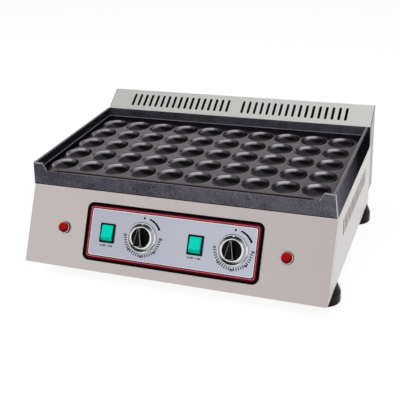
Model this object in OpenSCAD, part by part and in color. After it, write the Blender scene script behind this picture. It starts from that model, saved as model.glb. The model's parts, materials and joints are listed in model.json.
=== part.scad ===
// Electric mini pancake griddle: a cast plate with rows of round cups, set on a sheet metal body
// with a leaning control panel and a vented hood along its rear edge.
// Two heating zones, each with its own lit rocker switch, thermostat knob and signal lamp.
// Millimetres, +Z up. The origin is on the floor under the middle of the machine, and -Y is the front.

/* [Body] */
// Width of the sheet metal body
body_w = 600; // [592:2:680]
// Depth of the body from its front bottom edge to its rear face
body_d = 421.7; // [415:0.1:470]
// Height of the body from its underside to the griddle plate's seat
body_h = 133.8; // [125:0.1:160]
// Distance that the front panel leans back over its height
front_run = 74.5; // [60:0.5:80]
// Thickness of the body sheet
sheet = 1.2; // [0.8:0.1:2]
// Width of the front panel's returns round the upright corners
return_w = 20; // [16:1:30]
// Outer bend radius of those corners
corner_r = 3; // [2.5:0.5:5]
// Width of the flanges that carry the plate at the front and rear
seat_flange = 26; // [20:1:32]
// Width of the flanges that carry the plate at the sides
side_flange = 18; // [12:1:24]
// Height of the base pan's upturned edges
pan_flange = 18; // [12:1:24]
// Width of the lap joints inside the body
lap = 14; // [10:1:18]
// Depth of the rear panel's bottom flange
bottom_flange = 26; // [24:1:34]

/* [Feet] */
// Height of the rubber feet
foot_h = 40; // [30:1:60]
// Widest diameter of a foot
foot_d = 56; // [44:1:60]
// Diameter of a foot at its top
foot_top_d = 40; // [30:1:44]
// Height of a foot's straight lower band
foot_band_h = 19; // [14:1:24]
// Distance from the body's side to the middle of a foot
foot_side = 21; // [18:1:40]
// Distance from the front bottom edge to the middle of a front foot
foot_front = 86; // [60:1:120]
// Distance from the rear face to the middle of a rear foot
foot_rear = 12; // [11:0.5:14]
// Diameter of the foot bolts
foot_bolt_d = 8; // [6:1:8]

/* [Griddle plate] */
// Overhang of the plate's bottom edge past the body's sides
plate_overhang = 1; // [0:0.5:3]
// Height of the plate from its seat to its rim
plate_h = 45.3; // [42:0.1:55]
// Height of the cup deck above the seat
deck_z = 27.7; // [26:0.1:32]
// Inward draft of the plate's outer faces over its height
plate_draft = 4.5; // [2:0.5:6]
// Thickness of the rim walls at the top
rim_t = 5.5; // [4:0.5:8]
// Thickness of the front lip
lip_t = 5.5; // [4:0.5:8]
// Height of the front lip above the deck
lip_h = 0.5; // [0.5:0.5:4]
// Width of the raised front corners at the rim
wing_w = 21; // [15:1:30]
// Extra width of the raised front corners at the lip
wing_slope = 9; // [4:1:14]
// Width of the drip groove behind the lip
groove_w = 4; // [1.5:0.5:5]
// Depth of the drip groove
groove_deep = 2; // [0.6:0.2:3]
// Distance from the plate's ends to the groove's ends
groove_end = 50; // [45:1:80]
// Thickness of the skirt under the plate
skirt_t = 8; // [6:0.5:10]
// Depth of the hollow under the plate
pocket_h = 8; // [6:0.5:9]
// Cups along the width
cup_cols = 10; // [8:1:10]
// Cups along the depth
cup_rows = 5; // [4:1:5]
// Distance between cup centres
cup_pitch = 56.2; // [54:0.1:57]
// Diameter of a cup at the deck
cup_d = 52.6; // [44:0.1:53]
// Depth of a cup
cup_deep = 14; // [10:0.5:16]
// Distance from the plate's front face to the first row of cups
cup_front = 45.5; // [40:0.5:48]

/* [Rear hood] */
// Overhang of the hood behind the body's rear face
hood_over = 38.3; // [30:0.1:45]
// Run of the sloping vent face
hood_run = 49; // [44:0.5:56]
// Rise of the sloping vent face
hood_rise = 30.5; // [20:0.5:40]
// Height of the hood's front wall above the seat
hood_front_h = 40.5; // [30:0.5:44]
// Height of the hood's lower edge above the body's underside
hood_lift = 25; // [24:0.5:40]
// Width of the returned edge along the hood's bottom
hood_return = 12; // [8:1:16]
// Gap between the plate and the hood
hood_gap = 7.9; // [4:0.1:12]

/* [Vent slots] */
// Width of a slot
slot_w = 5.5; // [2.5:0.5:7]
// Length of a slot
slot_l = 33; // [24:1:36]
// Distance between slots
slot_pitch = 14.2; // [12:0.1:14.5]
// Slots in a group
slot_count = 17; // [9:2:17]
// Distance between the two groups' inner slots
slot_gap = 35; // [25:1:45]
// Height of the side slots' middle above the body's underside
side_slot_z = 87; // [60:1:95]
// Distance from the rear face to the middle of the side slots
side_slot_rear = 175; // [170:1:190]

/* [Control panel] */
// Width of the control fascia
fascia_w = 350; // [345:1:380]
// Height of the control fascia
fascia_h = 111; // [100:1:115]
// Thickness of the control fascia
fascia_t = 0.8; // [0.5:0.1:1.5]
// Corner radius of the control fascia
fascia_r = 13; // [8:1:16]
// Width of the bead round the fascia
bead_w = 5; // [3:0.5:7]
// Height of the bead above the fascia
bead_h = 2.4; // [1:0.2:3]
// Height of the controls up the leaning panel
control_s = 75.5; // [70:0.5:80]
// Place of the first switch across the panel
switch_x = -128; // [-132:1:-124]
// Distance from a switch to its knob
knob_step = 71.5; // [66:0.5:76]
// Distance between the two zones' controls
zone_step = 178; // [170:1:182]
// Distance of the lamps from the body's ends
lamp_side = 79; // [50:1:95]

/* [Knobs] */
// Radius of the knob's outer trim ring
knob_r = 27.5; // [26.5:0.5:30]
// Radius of the knob's black skirt
skirt_r = 25; // [23:0.5:25.5]
// Radius of the knob's inner trim ring
inner_ring_r = 21; // [19.5:0.5:22]
// Radius of the knob's raised disc
disc_r = 17.6; // [15:0.1:18]
// Height of the grip above the disc
grip_h = 14; // [8:0.5:18]
// Width of the grip at its pointing end
grip_tip_w = 4; // [2:0.5:6]
// Width of the grip at its tail
grip_tail_w = 19; // [10:0.5:22]
// Radius of the thermostat spindle
spindle_r = 3; // [2.5:0.1:3.5]

/* [Switches] */
// Width of the switch bezel
bezel_w = 30; // [29:0.5:34]
// Height of the switch bezel
bezel_h = 37; // [36:0.5:42]
// Thickness of the switch bezel
bezel_t = 2.5; // [1.5:0.1:3]
// Width of the switch housing behind the panel
housing_w = 27; // [26:0.5:28]
// Height of the switch housing behind the panel
housing_h = 34; // [33.5:0.5:35]
// Depth of the switch housing behind the panel
housing_deep = 22; // [18:0.5:28]
// Width of the rocker
rocker_w = 22.4; // [20:0.2:22.6]
// Radius of the rocker's round ends about its pivot
rocker_r = 15.2; // [13.5:0.1:15.4]
// Radius of the rocker's pivot pins
pivot_r = 1.6; // [1.2:0.1:2]
// Depth of the pivot behind the panel's face
pivot_deep = 1.5; // [1:0.1:2.5]

/* [Lamps] */
// Radius of the lamp's base flange
lamp_flange_r = 12; // [11:0.5:14]
// Radius of the lamp's bezel
lamp_bezel_r = 10.8; // [10:0.1:11]
// Radius of the lamp's lens
lamp_lens_r = 9; // [7:0.1:9.4]
// Height of the lens above the base flange
lamp_lens_h = 8.5; // [5:0.5:12]
// Radius of the lamp's barrel
lamp_barrel_r = 6; // [5:0.1:6.5]

/* [Heating] */
// Radius of the tubular elements
element_r = 4; // [3:0.1:4.5]
// Distance from the body's side to the elements' outer bends
element_margin = 60; // [50:1:80]
// Distance from the middle of the machine to the elements' inner bends
element_in = 55; // [50:1:70]
// Length of the elements' legs
element_leg = 30; // [20:1:40]
// Distance from the middle to the inner clamp bars
clamp_in = 95; // [90:1:110]
// Distance from the middle to the outer clamp bars
clamp_out = 210; // [190:1:220]
// Width of a clamp bar
clamp_w = 18; // [14:1:24]
// Thickness of a clamp bar
clamp_t = 3; // [2:0.5:4]
// Radius of the clamp studs
stud_r = 3; // [2.5:0.1:3]
// Distance of the heat shield below the seat
shield_drop = 24; // [22:1:30]
// Thickness of the heat shield
shield_t = 0.8; // [0.6:0.1:1.2]
// Height of the heat shield's upturned edge
shield_rim = 8; // [5:1:10]

/* [Electrical] */
// Radius of the thermostat bush
bush_r = 5; // [4.6:0.1:6]
// Width of a thermostat body
thermo_w = 44; // [38:1:50]
// Height of a thermostat body
thermo_h = 38; // [32:1:44]
// Depth of a thermostat body
thermo_deep = 26; // [22:1:32]
// Radius of a sensing bulb
bulb_r = 3; // [2.5:0.1:3.5]
// Length of a sensing bulb
bulb_l = 80; // [60:1:90]
// Radius of a capillary tube
capillary_r = 1; // [0.8:0.1:1.4]
// Radius of an insulated wire
wire_r = 1.8; // [1.2:0.1:2.2]
// Distance of the cable gland from the body's right end
gland_side = 80; // [65:1:120]
// Radius of the gland's cable bore
gland_bore_r = 4.5; // [3:0.1:5]
// Radius of the gland's thread
gland_thread_r = 8; // [7:0.1:8.5]

/* [Clearances] */
// Gap at the visible seams between body sheets
seam = 0.6; // [0.3:0.1:1]
// Radial clearance of parts that turn
run_clear = 0.05; // [0.02:0.01:0.1]
// Radial clearance of parts that pass through or press on
pass_clear = 0.25; // [0.1:0.05:0.4]
// Gap between the knob and the fascia
knob_gap = 0.6; // [0.4:0.1:1]
// Gap round the rocker in its bezel
rocker_gap = 0.4; // [0.3:0.1:0.6]
// Gap between tubes and what they are clamped to
seat_clear = 0.15; // [0.05:0.05:0.3]

/* [Hidden] */
$fn = 64;
cut = 1;                       // how far a cutting solid passes the faces that it cuts
half_w = body_w / 2;
total_d = body_d + hood_over;
y_front = -total_d / 2;
y_rear = y_front + body_d;
y_back = y_front + total_d;
z_base = foot_h;
z_seat = z_base + body_h;
seat_y = y_front + front_run;
lean = atan(front_run / body_h);
slope_len = body_h / cos(lean);
wall_y = sheet / cos(lean);    // sheet thickness of the leaning panel, measured along Y
front_x = half_w - corner_r - seam;
lamp_x = half_w - lamp_side;

y_hood = y_back - hood_run;
z_hood = z_seat + hood_front_h;
z_top = z_hood + hood_rise;
z_hood_low = z_base + hood_lift;
hood_pitch = atan(hood_rise / hood_run);
hood_slope = hood_run / cos(hood_pitch);

plate_w = body_w + 2 * plate_overhang;
plate_d = y_hood - hood_gap - seat_y;
cup_y = seat_y + cup_front + (cup_rows - 1) / 2 * cup_pitch;
cup_sphere_r = (pow(cup_d / 2, 2) + pow(cup_deep, 2)) / (2 * cup_deep);

foot_x = half_w - foot_side;
foot_places = [[-foot_x, y_front + foot_front], [foot_x, y_front + foot_front],
               [-foot_x, y_rear - foot_rear], [foot_x, y_rear - foot_rear]];
foot_edge = 1;                 // chamfer round a foot's bottom edge
bolt_head_r = 0.8 * foot_bolt_d;
bolt_head_h = 0.7 * foot_bolt_d;
bolt_recess_r = bolt_head_r + 2;
bolt_recess_h = 12;
bolt_end = 12;                 // length of bolt above the base pan
foot_nut_h = 0.8 * foot_bolt_d;
nut_over = 5;                  // how much wider across its flats a nut is than its thread
base_screw_x = [-150, -50, 50, 150];
base_screw_y = y_rear - bottom_flange / 2;
base_screw_r = 2;
base_screw_end = 4;            // length of screw past the sheets

zones = [0, 1];
function switch_at(zone) = switch_x + zone * zone_step;
function knob_at(zone) = switch_at(zone) + knob_step;

knob_z = fascia_t + knob_gap;  // heights above the panel's face
skirt_h = 3.6;
disc_h = 3;
ring_h = 0.8;
grip_in = 0.5;                 // how far the grip stays inside the disc's edge
cavity_r = 10;
cavity_h = 4.2;
bush_nut_h = 2.4;
bush_top = fascia_t + 4;
spindle_in = 13;               // length of spindle inside the thermostat
spindle_top = knob_z + 16;
tab_l = 9;                     // spade terminals of switches and thermostats
tab_w = 6.3;
tab_t = 0.8;
switch_tab_y = 8;
thermo_tab_x = 12;
bezel_r = 1.5;
pin_skin = 0.5;                // housing wall left over the ends of the pivot sockets
rocker_low = 4;                // rocker's underside, crease and ends, from its pivot
rocker_crease = [-7.6, 8.2];
rocker_end_top = 5;
rocker_end_bottom = 4.8;
cavity_deep = 12;
lamp_flange_t = 2.5;
lamp_bezel_t = 2;
lamp_barrel_l = 20;
lamp_nut_t = 3;
lens_bevel = 0.7;              // where the lens's bevel starts, as a share of its height and radius

pocket_z = z_seat + pocket_h;  // underside of the plate's slab
element_z = pocket_z - element_r - seat_clear;
element_out = half_w - element_margin;
element_end = 25;
element_drop = 14;
element_tip_z = element_z - element_drop - element_leg;
clamp_top = element_z - element_r - seat_clear;
clamp_reach = 22;              // length of a clamp bar past the outer element runs
shield_z = z_seat - shield_drop;
stud_bottom = shield_z - 8;
nut_h = 5;
shield_gap = 5;
bulb_x = 105;
bulb_z = pocket_z - bulb_r - seat_clear;
bulb_in = 2;                   // length of capillary inside the bulb
capillary_x = 66;
capillary_up = 10;
shield_hole_r = 6;

gland_x = half_w - gland_side;
gland_z = z_base + hood_lift / 2 + 1.5;
gland_af = 20;                 // across the flats of the gland's hexagons
gland_in = 14;
gland_flange_t = 5;
gland_spigot_r = 6.5;
gland_spigot_l = 7;
gland_cap_l = 9;
gland_nose_l = 5;
gland_edge = 1;                // step from the cap's flats to its round nose
block_shift = 70;               // terminal block and earth stud, from the gland
earth_shift = 30;
block_x = gland_x - block_shift;
block_w = 66;
block_d = 22;
block_h = 20;
block_hole_r = 3;
block_hole_h = 6;
block_y = y_rear - bottom_flange - 14;
block_entries = [-24, -8, 8, 24];
block_wire_z = z_base + sheet + 11;
earth_x = gland_x + earth_shift;
earth_y = y_rear - bottom_flange - 24;
earth_r = 2.5;
earth_h = 14;
earth_nut_z = 3;
earth_nut_h = 4;

// Frames and shared shapes

// Places children on the leaning panel: X across, Y up the slope, Z out of the panel's face
module on_panel(x, s = control_s)
    translate([x, y_front, z_base]) rotate([90 - lean, 0, 0]) translate([0, s, 0]) children();

// The same place as a point, for wires
function panel_point(x, p) =
    [x + p.x,
     y_front + (control_s + p.y) * sin(lean) - p.z * cos(lean),
     z_base + (control_s + p.y) * cos(lean) + p.z * sin(lean)];

// Places children on the hood's vent face: X across, Y up the slope, Z out of the face
module on_hood()
    translate([0, y_hood, z_hood]) rotate([hood_pitch, 0, 0]) children();

// Extrudes an outline drawn in Y and Z along X
module along_x(x, length)
    translate([x, 0, 0]) rotate([90, 0, 90]) linear_extrude(length) children();

// Y of the leaning panel's outer face at a height
function slant(z) = y_front + (z - z_base) * tan(lean);

module rounded_rect(w, h, r) {
    square([w - 2 * r, h], center = true);
    square([w, h - 2 * r], center = true);
    for (sx = [-1, 1], sy = [-1, 1])
        translate([sx * (w / 2 - r), sy * (h / 2 - r)]) circle(r);
}

module slot() {
    square([slot_w, slot_l - slot_w], center = true);
    for (s = [-1, 1])
        translate([0, s * (slot_l - slot_w) / 2]) circle(slot_w / 2);
}

module slot_row()
    for (i = [0 : slot_count - 1])
        translate([(i - (slot_count - 1) / 2) * slot_pitch, 0]) slot();

module slot_groups()
    for (s = [-1, 1])
        translate([s * (slot_gap + (slot_count - 1) * slot_pitch) / 2, 0]) slot_row();

// Hexagon bar with two flats facing up and down local Y
module hexagon(across_flats, height)
    cylinder(r = across_flats / 2 / cos(30), h = height, $fn = 6);

// Hexagon nut for a thread, standing on Z = 0
module nut(thread_r, height)
    difference() {
        hexagon(2 * thread_r + nut_over, height);
        translate([0, 0, -cut]) cylinder(r = thread_r + run_clear, h = height + 2 * cut);
    }

// Body sheets

module base_pan() color("gainsboro") {
    inner_x = half_w - sheet;
    face = wall_y + run_clear;
    side_y = slant(z_base + pan_flange) + lap;
    difference() {
        union() {
            along_x(-front_x, 2 * front_x) polygon([
                [slant(z_base) + face, z_base],
                [y_rear - sheet, z_base],
                [y_rear - sheet, z_base + sheet],
                [slant(z_base + sheet) + face + wall_y, z_base + sheet],
                [slant(z_base + pan_flange) + face + wall_y, z_base + pan_flange],
                [slant(z_base + pan_flange) + face, z_base + pan_flange]]);
            translate([-inner_x, side_y, z_base]) cube([2 * inner_x, y_rear - sheet - side_y, sheet]);
            for (s = [0, 1]) mirror([s, 0, 0])
                translate([inner_x - sheet, side_y, z_base])
                    cube([sheet, y_rear - bottom_flange - seam - side_y, pan_flange]);
        }
        for (p = foot_places)
            translate([p.x, p.y, z_base - cut])
                cylinder(r = foot_bolt_d / 2 + pass_clear, h = sheet + 2 * cut);
        for (x = base_screw_x)
            translate([x, base_screw_y, z_base - cut])
                cylinder(r = base_screw_r + pass_clear, h = sheet + 2 * cut);
        translate([0, (y_front + y_rear) / 2, z_base - cut])
            linear_extrude(sheet + 2 * cut) slot_groups();
    }
}

// Cross-section of a channel across the panel, its face on Y = 0 and its corners rounded
module channel_outline(w, d, r) {
    translate([-w / 2, -d]) square([w, d - r]);
    translate([-w / 2 + r, -d]) square([w - 2 * r, d]);
    for (s = [-1, 1]) translate([s * (w / 2 - r), -r]) circle(r);
}

module front_panel() color("silver") {
    run_on = body_h;
    difference() {
        union() {
            intersection() {
                on_panel(0, 0)
                    translate([0, slope_len + run_on, 0]) rotate([90, 0, 0])
                        linear_extrude(slope_len + 2 * run_on) difference() {
                            channel_outline(body_w, return_w, corner_r);
                            translate([0, -sheet])
                                channel_outline(body_w - 2 * sheet, return_w, corner_r - sheet);
                        }
                translate([-body_w, y_front - body_d, z_base]) cube([2 * body_w, 2 * body_d, body_h]);
            }
            translate([-front_x, seat_y + wall_y / 2, z_seat - sheet])
                cube([2 * front_x, seat_flange - wall_y / 2, sheet]);
        }
        control_cuts();
        for (s = [-1, 1])
            on_panel(s * lamp_x) panel_cut() circle(lamp_barrel_r + pass_clear);
    }
}

// Cuts an outline through the panel and the fascia on it
module panel_cut()
    translate([0, 0, -sheet - cut]) linear_extrude(sheet + fascia_t + 2 * cut) children();

// Holes for the switches and the thermostat bushes
module control_cuts()
    for (zone = zones) {
        on_panel(switch_at(zone)) panel_cut()
            square([housing_w, housing_h] + 2 * pass_clear * [1, 1], center = true);
        on_panel(knob_at(zone)) panel_cut() circle(bush_r + pass_clear);
    }

module side_panel() {
    edge = (return_w + seam) / cos(lean);
    lap_low = z_base + pan_flange + seam;
    lap_high = z_seat - sheet - seam;
    middle = (return_w + seam / 2) / cos(lean);
    along_x(half_w - sheet, sheet) difference() {
        polygon([[y_front + edge, z_base], [y_rear, z_base], [y_rear, z_seat], [seat_y + edge, z_seat]]);
        translate([y_rear - side_slot_rear, z_base + side_slot_z]) slot_row();
    }
    along_x(half_w - 2 * sheet, sheet) polygon([
        [slant(lap_low) + middle - lap, lap_low], [slant(lap_low) + middle + lap, lap_low],
        [slant(lap_high) + middle + lap, lap_high], [slant(lap_high) + middle - lap, lap_high]]);
    translate([half_w - sheet - side_flange, seat_y + seat_flange + seam, z_seat - sheet])
        cube([side_flange, y_rear - seat_y - 2 * seat_flange - 2 * seam, sheet]);
}

module right_side_panel() color("whitesmoke") side_panel();
module left_side_panel() color("whitesmoke") mirror([1, 0, 0]) side_panel();

module rear_panel() color("gainsboro") {
    inner_x = half_w - sheet;
    difference() {
        union() {
            translate([-inner_x, y_rear - sheet, z_base]) cube([2 * inner_x, sheet, body_h]);
            translate([-inner_x, y_rear - seat_flange, z_seat - sheet])
                cube([2 * inner_x, seat_flange, sheet]);
            translate([-inner_x, y_rear - bottom_flange, z_base + sheet])
                cube([2 * inner_x, bottom_flange, sheet]);
            for (s = [0, 1]) mirror([s, 0, 0])
                translate([inner_x - sheet, y_rear - lap, z_base + sheet])
                    cube([sheet, lap, body_h - sheet]);
        }
        translate([0, y_rear + cut, z_base + side_slot_z]) rotate([90, 0, 0])
            linear_extrude(sheet + 2 * cut) slot_groups();
        translate([gland_x, y_rear + cut, gland_z]) rotate([90, 0, 0])
            cylinder(r = gland_thread_r + pass_clear, h = sheet + 2 * cut);
        for (p = foot_places)
            translate([p.x, p.y, z_base]) cylinder(r = foot_bolt_d / 2 + pass_clear, h = 4 * sheet);
        for (x = base_screw_x)
            translate([x, base_screw_y, z_base]) cylinder(r = base_screw_r + pass_clear, h = 4 * sheet);
    }
}

module hood_shell() color("lightgray") {
    inner_x = half_w - sheet;
    drop = sheet / cos(hood_pitch);
    rise = sheet * tan(hood_pitch);
    difference() {
        along_x(-inner_x, 2 * inner_x) polygon([
            [y_hood, z_seat], [y_hood, z_hood], [y_back, z_top], [y_back, z_hood_low],
            [y_back - hood_return, z_hood_low], [y_back - hood_return, z_hood_low + sheet],
            [y_back - sheet, z_hood_low + sheet], [y_back - sheet, z_top - rise - drop],
            [y_hood + sheet, z_hood + rise - drop], [y_hood + sheet, z_seat + sheet],
            [y_rear, z_seat + sheet], [y_rear, z_seat]]);
        on_hood() translate([0, hood_slope / 2, -sheet - cut])
            linear_extrude(sheet + 2 * cut) slot_groups();
    }
}

module hood_end()
    along_x(half_w - sheet, sheet) polygon([
        [y_hood, z_seat], [y_hood, z_hood], [y_back, z_top], [y_back, z_hood_low],
        [y_rear, z_hood_low], [y_rear, z_seat]]);

module right_hood_end() color("lightgray") hood_end();
module left_hood_end() color("lightgray") mirror([1, 0, 0]) hood_end();

// Griddle plate and what heats it

module griddle_plate() color("dimgray") {
    half = plate_w / 2;
    gap = half - plate_draft - wing_w;
    lip_z = deck_z + lip_h;
    rear = plate_d - plate_draft;
    rim_slope = wing_slope / (plate_h - lip_z);
    difference() {
        translate([0, seat_y, z_seat]) difference() {
            intersection() {
                translate([0, plate_d, 0]) rotate([90, 0, 0]) linear_extrude(plate_d) polygon([
                    [-half, 0], [half, 0], [half - plate_draft, plate_h], [plate_draft - half, plate_h]]);
                along_x(-half, plate_w) polygon([[0, 0], [plate_d, 0], [rear, plate_h], [0, plate_h]]);
            }
            // tray above the deck
            translate([plate_draft + rim_t - half, lip_t, deck_z])
                cube([plate_w - 2 * (plate_draft + rim_t), rear - rim_t - lip_t, plate_h]);
            // low front between the raised corners
            translate([0, lip_t + cut, 0]) rotate([90, 0, 0]) linear_extrude(lip_t + 2 * cut) polygon([
                [wing_slope - gap, lip_z], [gap - wing_slope, lip_z],
                [gap + rim_slope * cut, plate_h + cut], [-gap - rim_slope * cut, plate_h + cut]]);
            // drip groove
            translate([groove_end - half, lip_t, deck_z - groove_deep])
                cube([plate_w - 2 * groove_end, groove_w, plate_h]);
            // hollow underside
            translate([skirt_t - half, skirt_t, -cut])
                cube([plate_w - 2 * skirt_t, plate_d - 2 * skirt_t, pocket_h + cut]);
        }
        for (i = [0 : cup_cols - 1], j = [0 : cup_rows - 1])
            translate([(i - (cup_cols - 1) / 2) * cup_pitch, cup_y + (j - (cup_rows - 1) / 2) * cup_pitch,
                       z_seat + deck_z - cup_deep + cup_sphere_r])
                sphere(cup_sphere_r);
    }
}

module element_run(x0, x1, y)
    translate([x0, y, 0]) rotate([0, 90, 0]) cylinder(r = element_r, h = x1 - x0);

module element_bend(x, y, turn)
    translate([x, y, 0]) rotate([0, 0, turn])
        rotate_extrude(angle = 180) translate([cup_pitch / 2, 0]) circle(element_r);

// One serpentine of four runs between the cup rows, its two legs turned down near the middle
module element()
    translate([0, cup_y, element_z]) {
        for (s = [-1, 1]) {
            element_run(element_end, element_out, 1.5 * s * cup_pitch);
            element_run(element_in, element_out, 0.5 * s * cup_pitch);
            element_bend(element_out, s * cup_pitch, -90);
            translate([element_end, 1.5 * s * cup_pitch, -element_drop]) {
                rotate([90, 0, 0]) rotate([0, 0, 90])
                    rotate_extrude(angle = 90) translate([element_drop, 0]) circle(element_r);
                translate([-element_drop, 0, -element_leg]) cylinder(r = element_r, h = element_leg);
            }
        }
        element_bend(element_in, 0, 90);
    }

module right_element() color("slategray") element();
module left_element() color("slategray") mirror([1, 0, 0]) element();

clamp_places = [-clamp_out, -clamp_in, clamp_in, clamp_out];

// Places children at each clamp stud, at a height
module at_studs(z)
    for (x = clamp_places, s = [-1, 1]) translate([x, cup_y + s * cup_pitch, z]) children();

module element_clamps() color("silver") {
    reach = 1.5 * cup_pitch + clamp_reach;
    difference() {
        for (x = clamp_places)
            translate([x - clamp_w / 2, cup_y - reach, clamp_top - clamp_t])
                cube([clamp_w, 2 * reach, clamp_t]);
        at_studs(clamp_top - clamp_t - cut) cylinder(r = stud_r + pass_clear, h = clamp_t + 2 * cut);
    }
}

module clamp_studs() color("silver")
    at_studs(stud_bottom) cylinder(r = stud_r, h = pocket_z - stud_bottom);

module clamp_nuts() color("gray") {
    at_studs(clamp_top - clamp_t - nut_h) nut(stud_r, nut_h);
    at_studs(shield_z + shield_t) nut(stud_r, nut_h);
    at_studs(shield_z - nut_h) nut(stud_r, nut_h);
}

module heat_shield() color("lightsteelblue") {
    half = half_w - sheet - side_flange - shield_gap;
    y0 = seat_y + seat_flange + shield_gap;
    y1 = y_rear - seat_flange - shield_gap;
    difference() {
        translate([-half, y0, shield_z]) difference() {
            cube([2 * half, y1 - y0, shield_t + shield_rim]);
            translate([shield_t, shield_t, shield_t])
                cube([2 * (half - shield_t), y1 - y0 - 2 * shield_t, shield_rim + cut]);
        }
        at_studs(shield_z - cut) cylinder(r = stud_r + pass_clear, h = shield_t + 2 * cut);
        for (sx = [-1, 1]) {
            for (sy = [-1.5, 1.5])
                translate([sx * (element_end - element_drop), cup_y + sy * cup_pitch, shield_z - cut])
                    cylinder(r = shield_hole_r, h = shield_t + 2 * cut);
            translate([sx * capillary_x, cup_y, shield_z - cut])
                cylinder(r = shield_hole_r, h = shield_t + 2 * cut);
        }
    }
}

// Controls on the leaning panel

module control_fascia() color("lavender")
    difference() {
        on_panel(0) {
            linear_extrude(fascia_t) rounded_rect(fascia_w, fascia_h, fascia_r);
            linear_extrude(fascia_t + bead_h) difference() {
                rounded_rect(fascia_w, fascia_h, fascia_r);
                rounded_rect(fascia_w - 2 * bead_w, fascia_h - 2 * bead_w, fascia_r - bead_w);
            }
        }
        control_cuts();
    }

module thermostat(zone)
    on_panel(knob_at(zone)) difference() {
        union() {
            translate([-thermo_w / 2, -thermo_h / 2, -sheet - thermo_deep])
                cube([thermo_w, thermo_h, thermo_deep]);
            translate([0, 0, -sheet - cut]) cylinder(r = bush_r, h = bush_top + sheet + cut);
            for (s = [-1, 1])
                translate([s * thermo_tab_x - tab_w / 2, -tab_t / 2, -sheet - thermo_deep - tab_l])
                    cube([tab_w, tab_t, tab_l + cut]);
        }
        translate([0, 0, -sheet - spindle_in - cut])
            cylinder(r = spindle_r + run_clear, h = spindle_in + sheet + bush_top + 2 * cut);
    }

module left_thermostat() color("gray") thermostat(0);
module right_thermostat() color("gray") thermostat(1);

module bush_nuts() color("gray")
    for (zone = zones)
        on_panel(knob_at(zone)) translate([0, 0, fascia_t]) nut(bush_r, bush_nut_h);

module spindle(zone)
    on_panel(knob_at(zone)) translate([0, 0, -sheet - spindle_in])
        cylinder(r = spindle_r, h = spindle_top + sheet + spindle_in);

module left_spindle() color("silver") spindle(0);
module right_spindle() color("silver") spindle(1);

// Knob: a flat skirt with a raised disc and a tapered pointing grip
module knob(zone)
    on_panel(knob_at(zone)) translate([0, 0, knob_z]) difference() {
        union() {
            cylinder(r = skirt_r, h = skirt_h);
            cylinder(r = disc_r, h = skirt_h + disc_h);
            linear_extrude(skirt_h + disc_h + grip_h) intersection() {
                polygon([[-grip_tail_w / 2, -disc_r], [grip_tail_w / 2, -disc_r],
                         [grip_tip_w / 2, disc_r], [-grip_tip_w / 2, disc_r]]);
                circle(disc_r - grip_in);
            }
        }
        translate([0, 0, -cut]) cylinder(r = cavity_r, h = cavity_h + cut);
        cylinder(r = spindle_r + run_clear, h = spindle_top - knob_z);
    }

module left_knob() color("black") knob(0);
module right_knob() color("black") knob(1);

module knob_rings(zone)
    on_panel(knob_at(zone)) translate([0, 0, knob_z]) {
        rotate_extrude() polygon([
            [skirt_r + run_clear, 0], [knob_r, 0], [knob_r, skirt_h - ring_h],
            [(knob_r + skirt_r) / 2, skirt_h + ring_h], [skirt_r + run_clear, skirt_h + ring_h]]);
        rotate_extrude() polygon([
            [disc_r + run_clear, skirt_h], [inner_ring_r, skirt_h], [inner_ring_r, skirt_h + ring_h],
            [(disc_r + inner_ring_r) / 2, skirt_h + 2 * ring_h], [disc_r + run_clear, skirt_h + 2 * ring_h]]);
    }

module left_knob_rings() color("silver") knob_rings(0);
module right_knob_rings() color("silver") knob_rings(1);

module switch_housing(zone)
    on_panel(switch_at(zone)) difference() {
        union() {
            translate([0, 0, fascia_t]) linear_extrude(bezel_t) rounded_rect(bezel_w, bezel_h, bezel_r);
            translate([-housing_w / 2, -housing_h / 2, -housing_deep])
                cube([housing_w, housing_h, housing_deep + fascia_t + bezel_t / 2]);
            for (s = [-1, 1])
                translate([-tab_w / 2, s * switch_tab_y - tab_t / 2, -housing_deep - tab_l])
                    cube([tab_w, tab_t, tab_l + cut]);
        }
        translate([-rocker_w / 2 - rocker_gap, -rocker_r - rocker_gap, -cavity_deep])
            cube([rocker_w + 2 * rocker_gap, 2 * (rocker_r + rocker_gap),
                  cavity_deep + fascia_t + bezel_t + cut]);
        translate([-pivot_reach(), 0, -pivot_deep]) rotate([0, 90, 0])
            cylinder(r = pivot_r + run_clear, h = 2 * pivot_reach());
    }

// Half length between the ends of the pivot pins' sockets, which stop short of the housing's sides
function pivot_reach() = housing_w / 2 - pin_skin;

module left_switch() color("black") switch_housing(0);
module right_switch() color("black") switch_housing(1);

// Rocker: flat facets meeting at a crease, round ends about the pivot, and two pivot pins
module rocker(zone)
    on_panel(switch_at(zone)) translate([0, 0, -pivot_deep]) {
        along_x(-rocker_w / 2, rocker_w) intersection() {
            circle(rocker_r);
            polygon([[-rocker_r, -rocker_low], [rocker_r, -rocker_low], [rocker_r, rocker_end_top],
                     rocker_crease, [-rocker_r, rocker_end_bottom]]);
        }
        translate([-pivot_reach() + seat_clear, 0, 0]) rotate([0, 90, 0])
            cylinder(r = pivot_r, h = 2 * (pivot_reach() - seat_clear));
    }

module left_rocker() color("mediumspringgreen") rocker(0);
module right_rocker() color("mediumspringgreen") rocker(1);

module lamp_base(side)
    on_panel(side * lamp_x) {
        cylinder(r = lamp_flange_r, h = lamp_flange_t);
        translate([0, 0, -lamp_barrel_l]) cylinder(r = lamp_barrel_r, h = lamp_barrel_l + lamp_flange_t);
    }

module left_lamp_base() color("black") lamp_base(-1);
module right_lamp_base() color("black") lamp_base(1);

module lamp_bezel(side)
    on_panel(side * lamp_x) translate([0, 0, lamp_flange_t]) difference() {
        cylinder(r = lamp_bezel_r, h = lamp_bezel_t);
        translate([0, 0, -cut]) cylinder(r = lamp_lens_r + seat_clear, h = lamp_bezel_t + 2 * cut);
    }

module left_lamp_bezel() color("white") lamp_bezel(-1);
module right_lamp_bezel() color("white") lamp_bezel(1);

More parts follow.
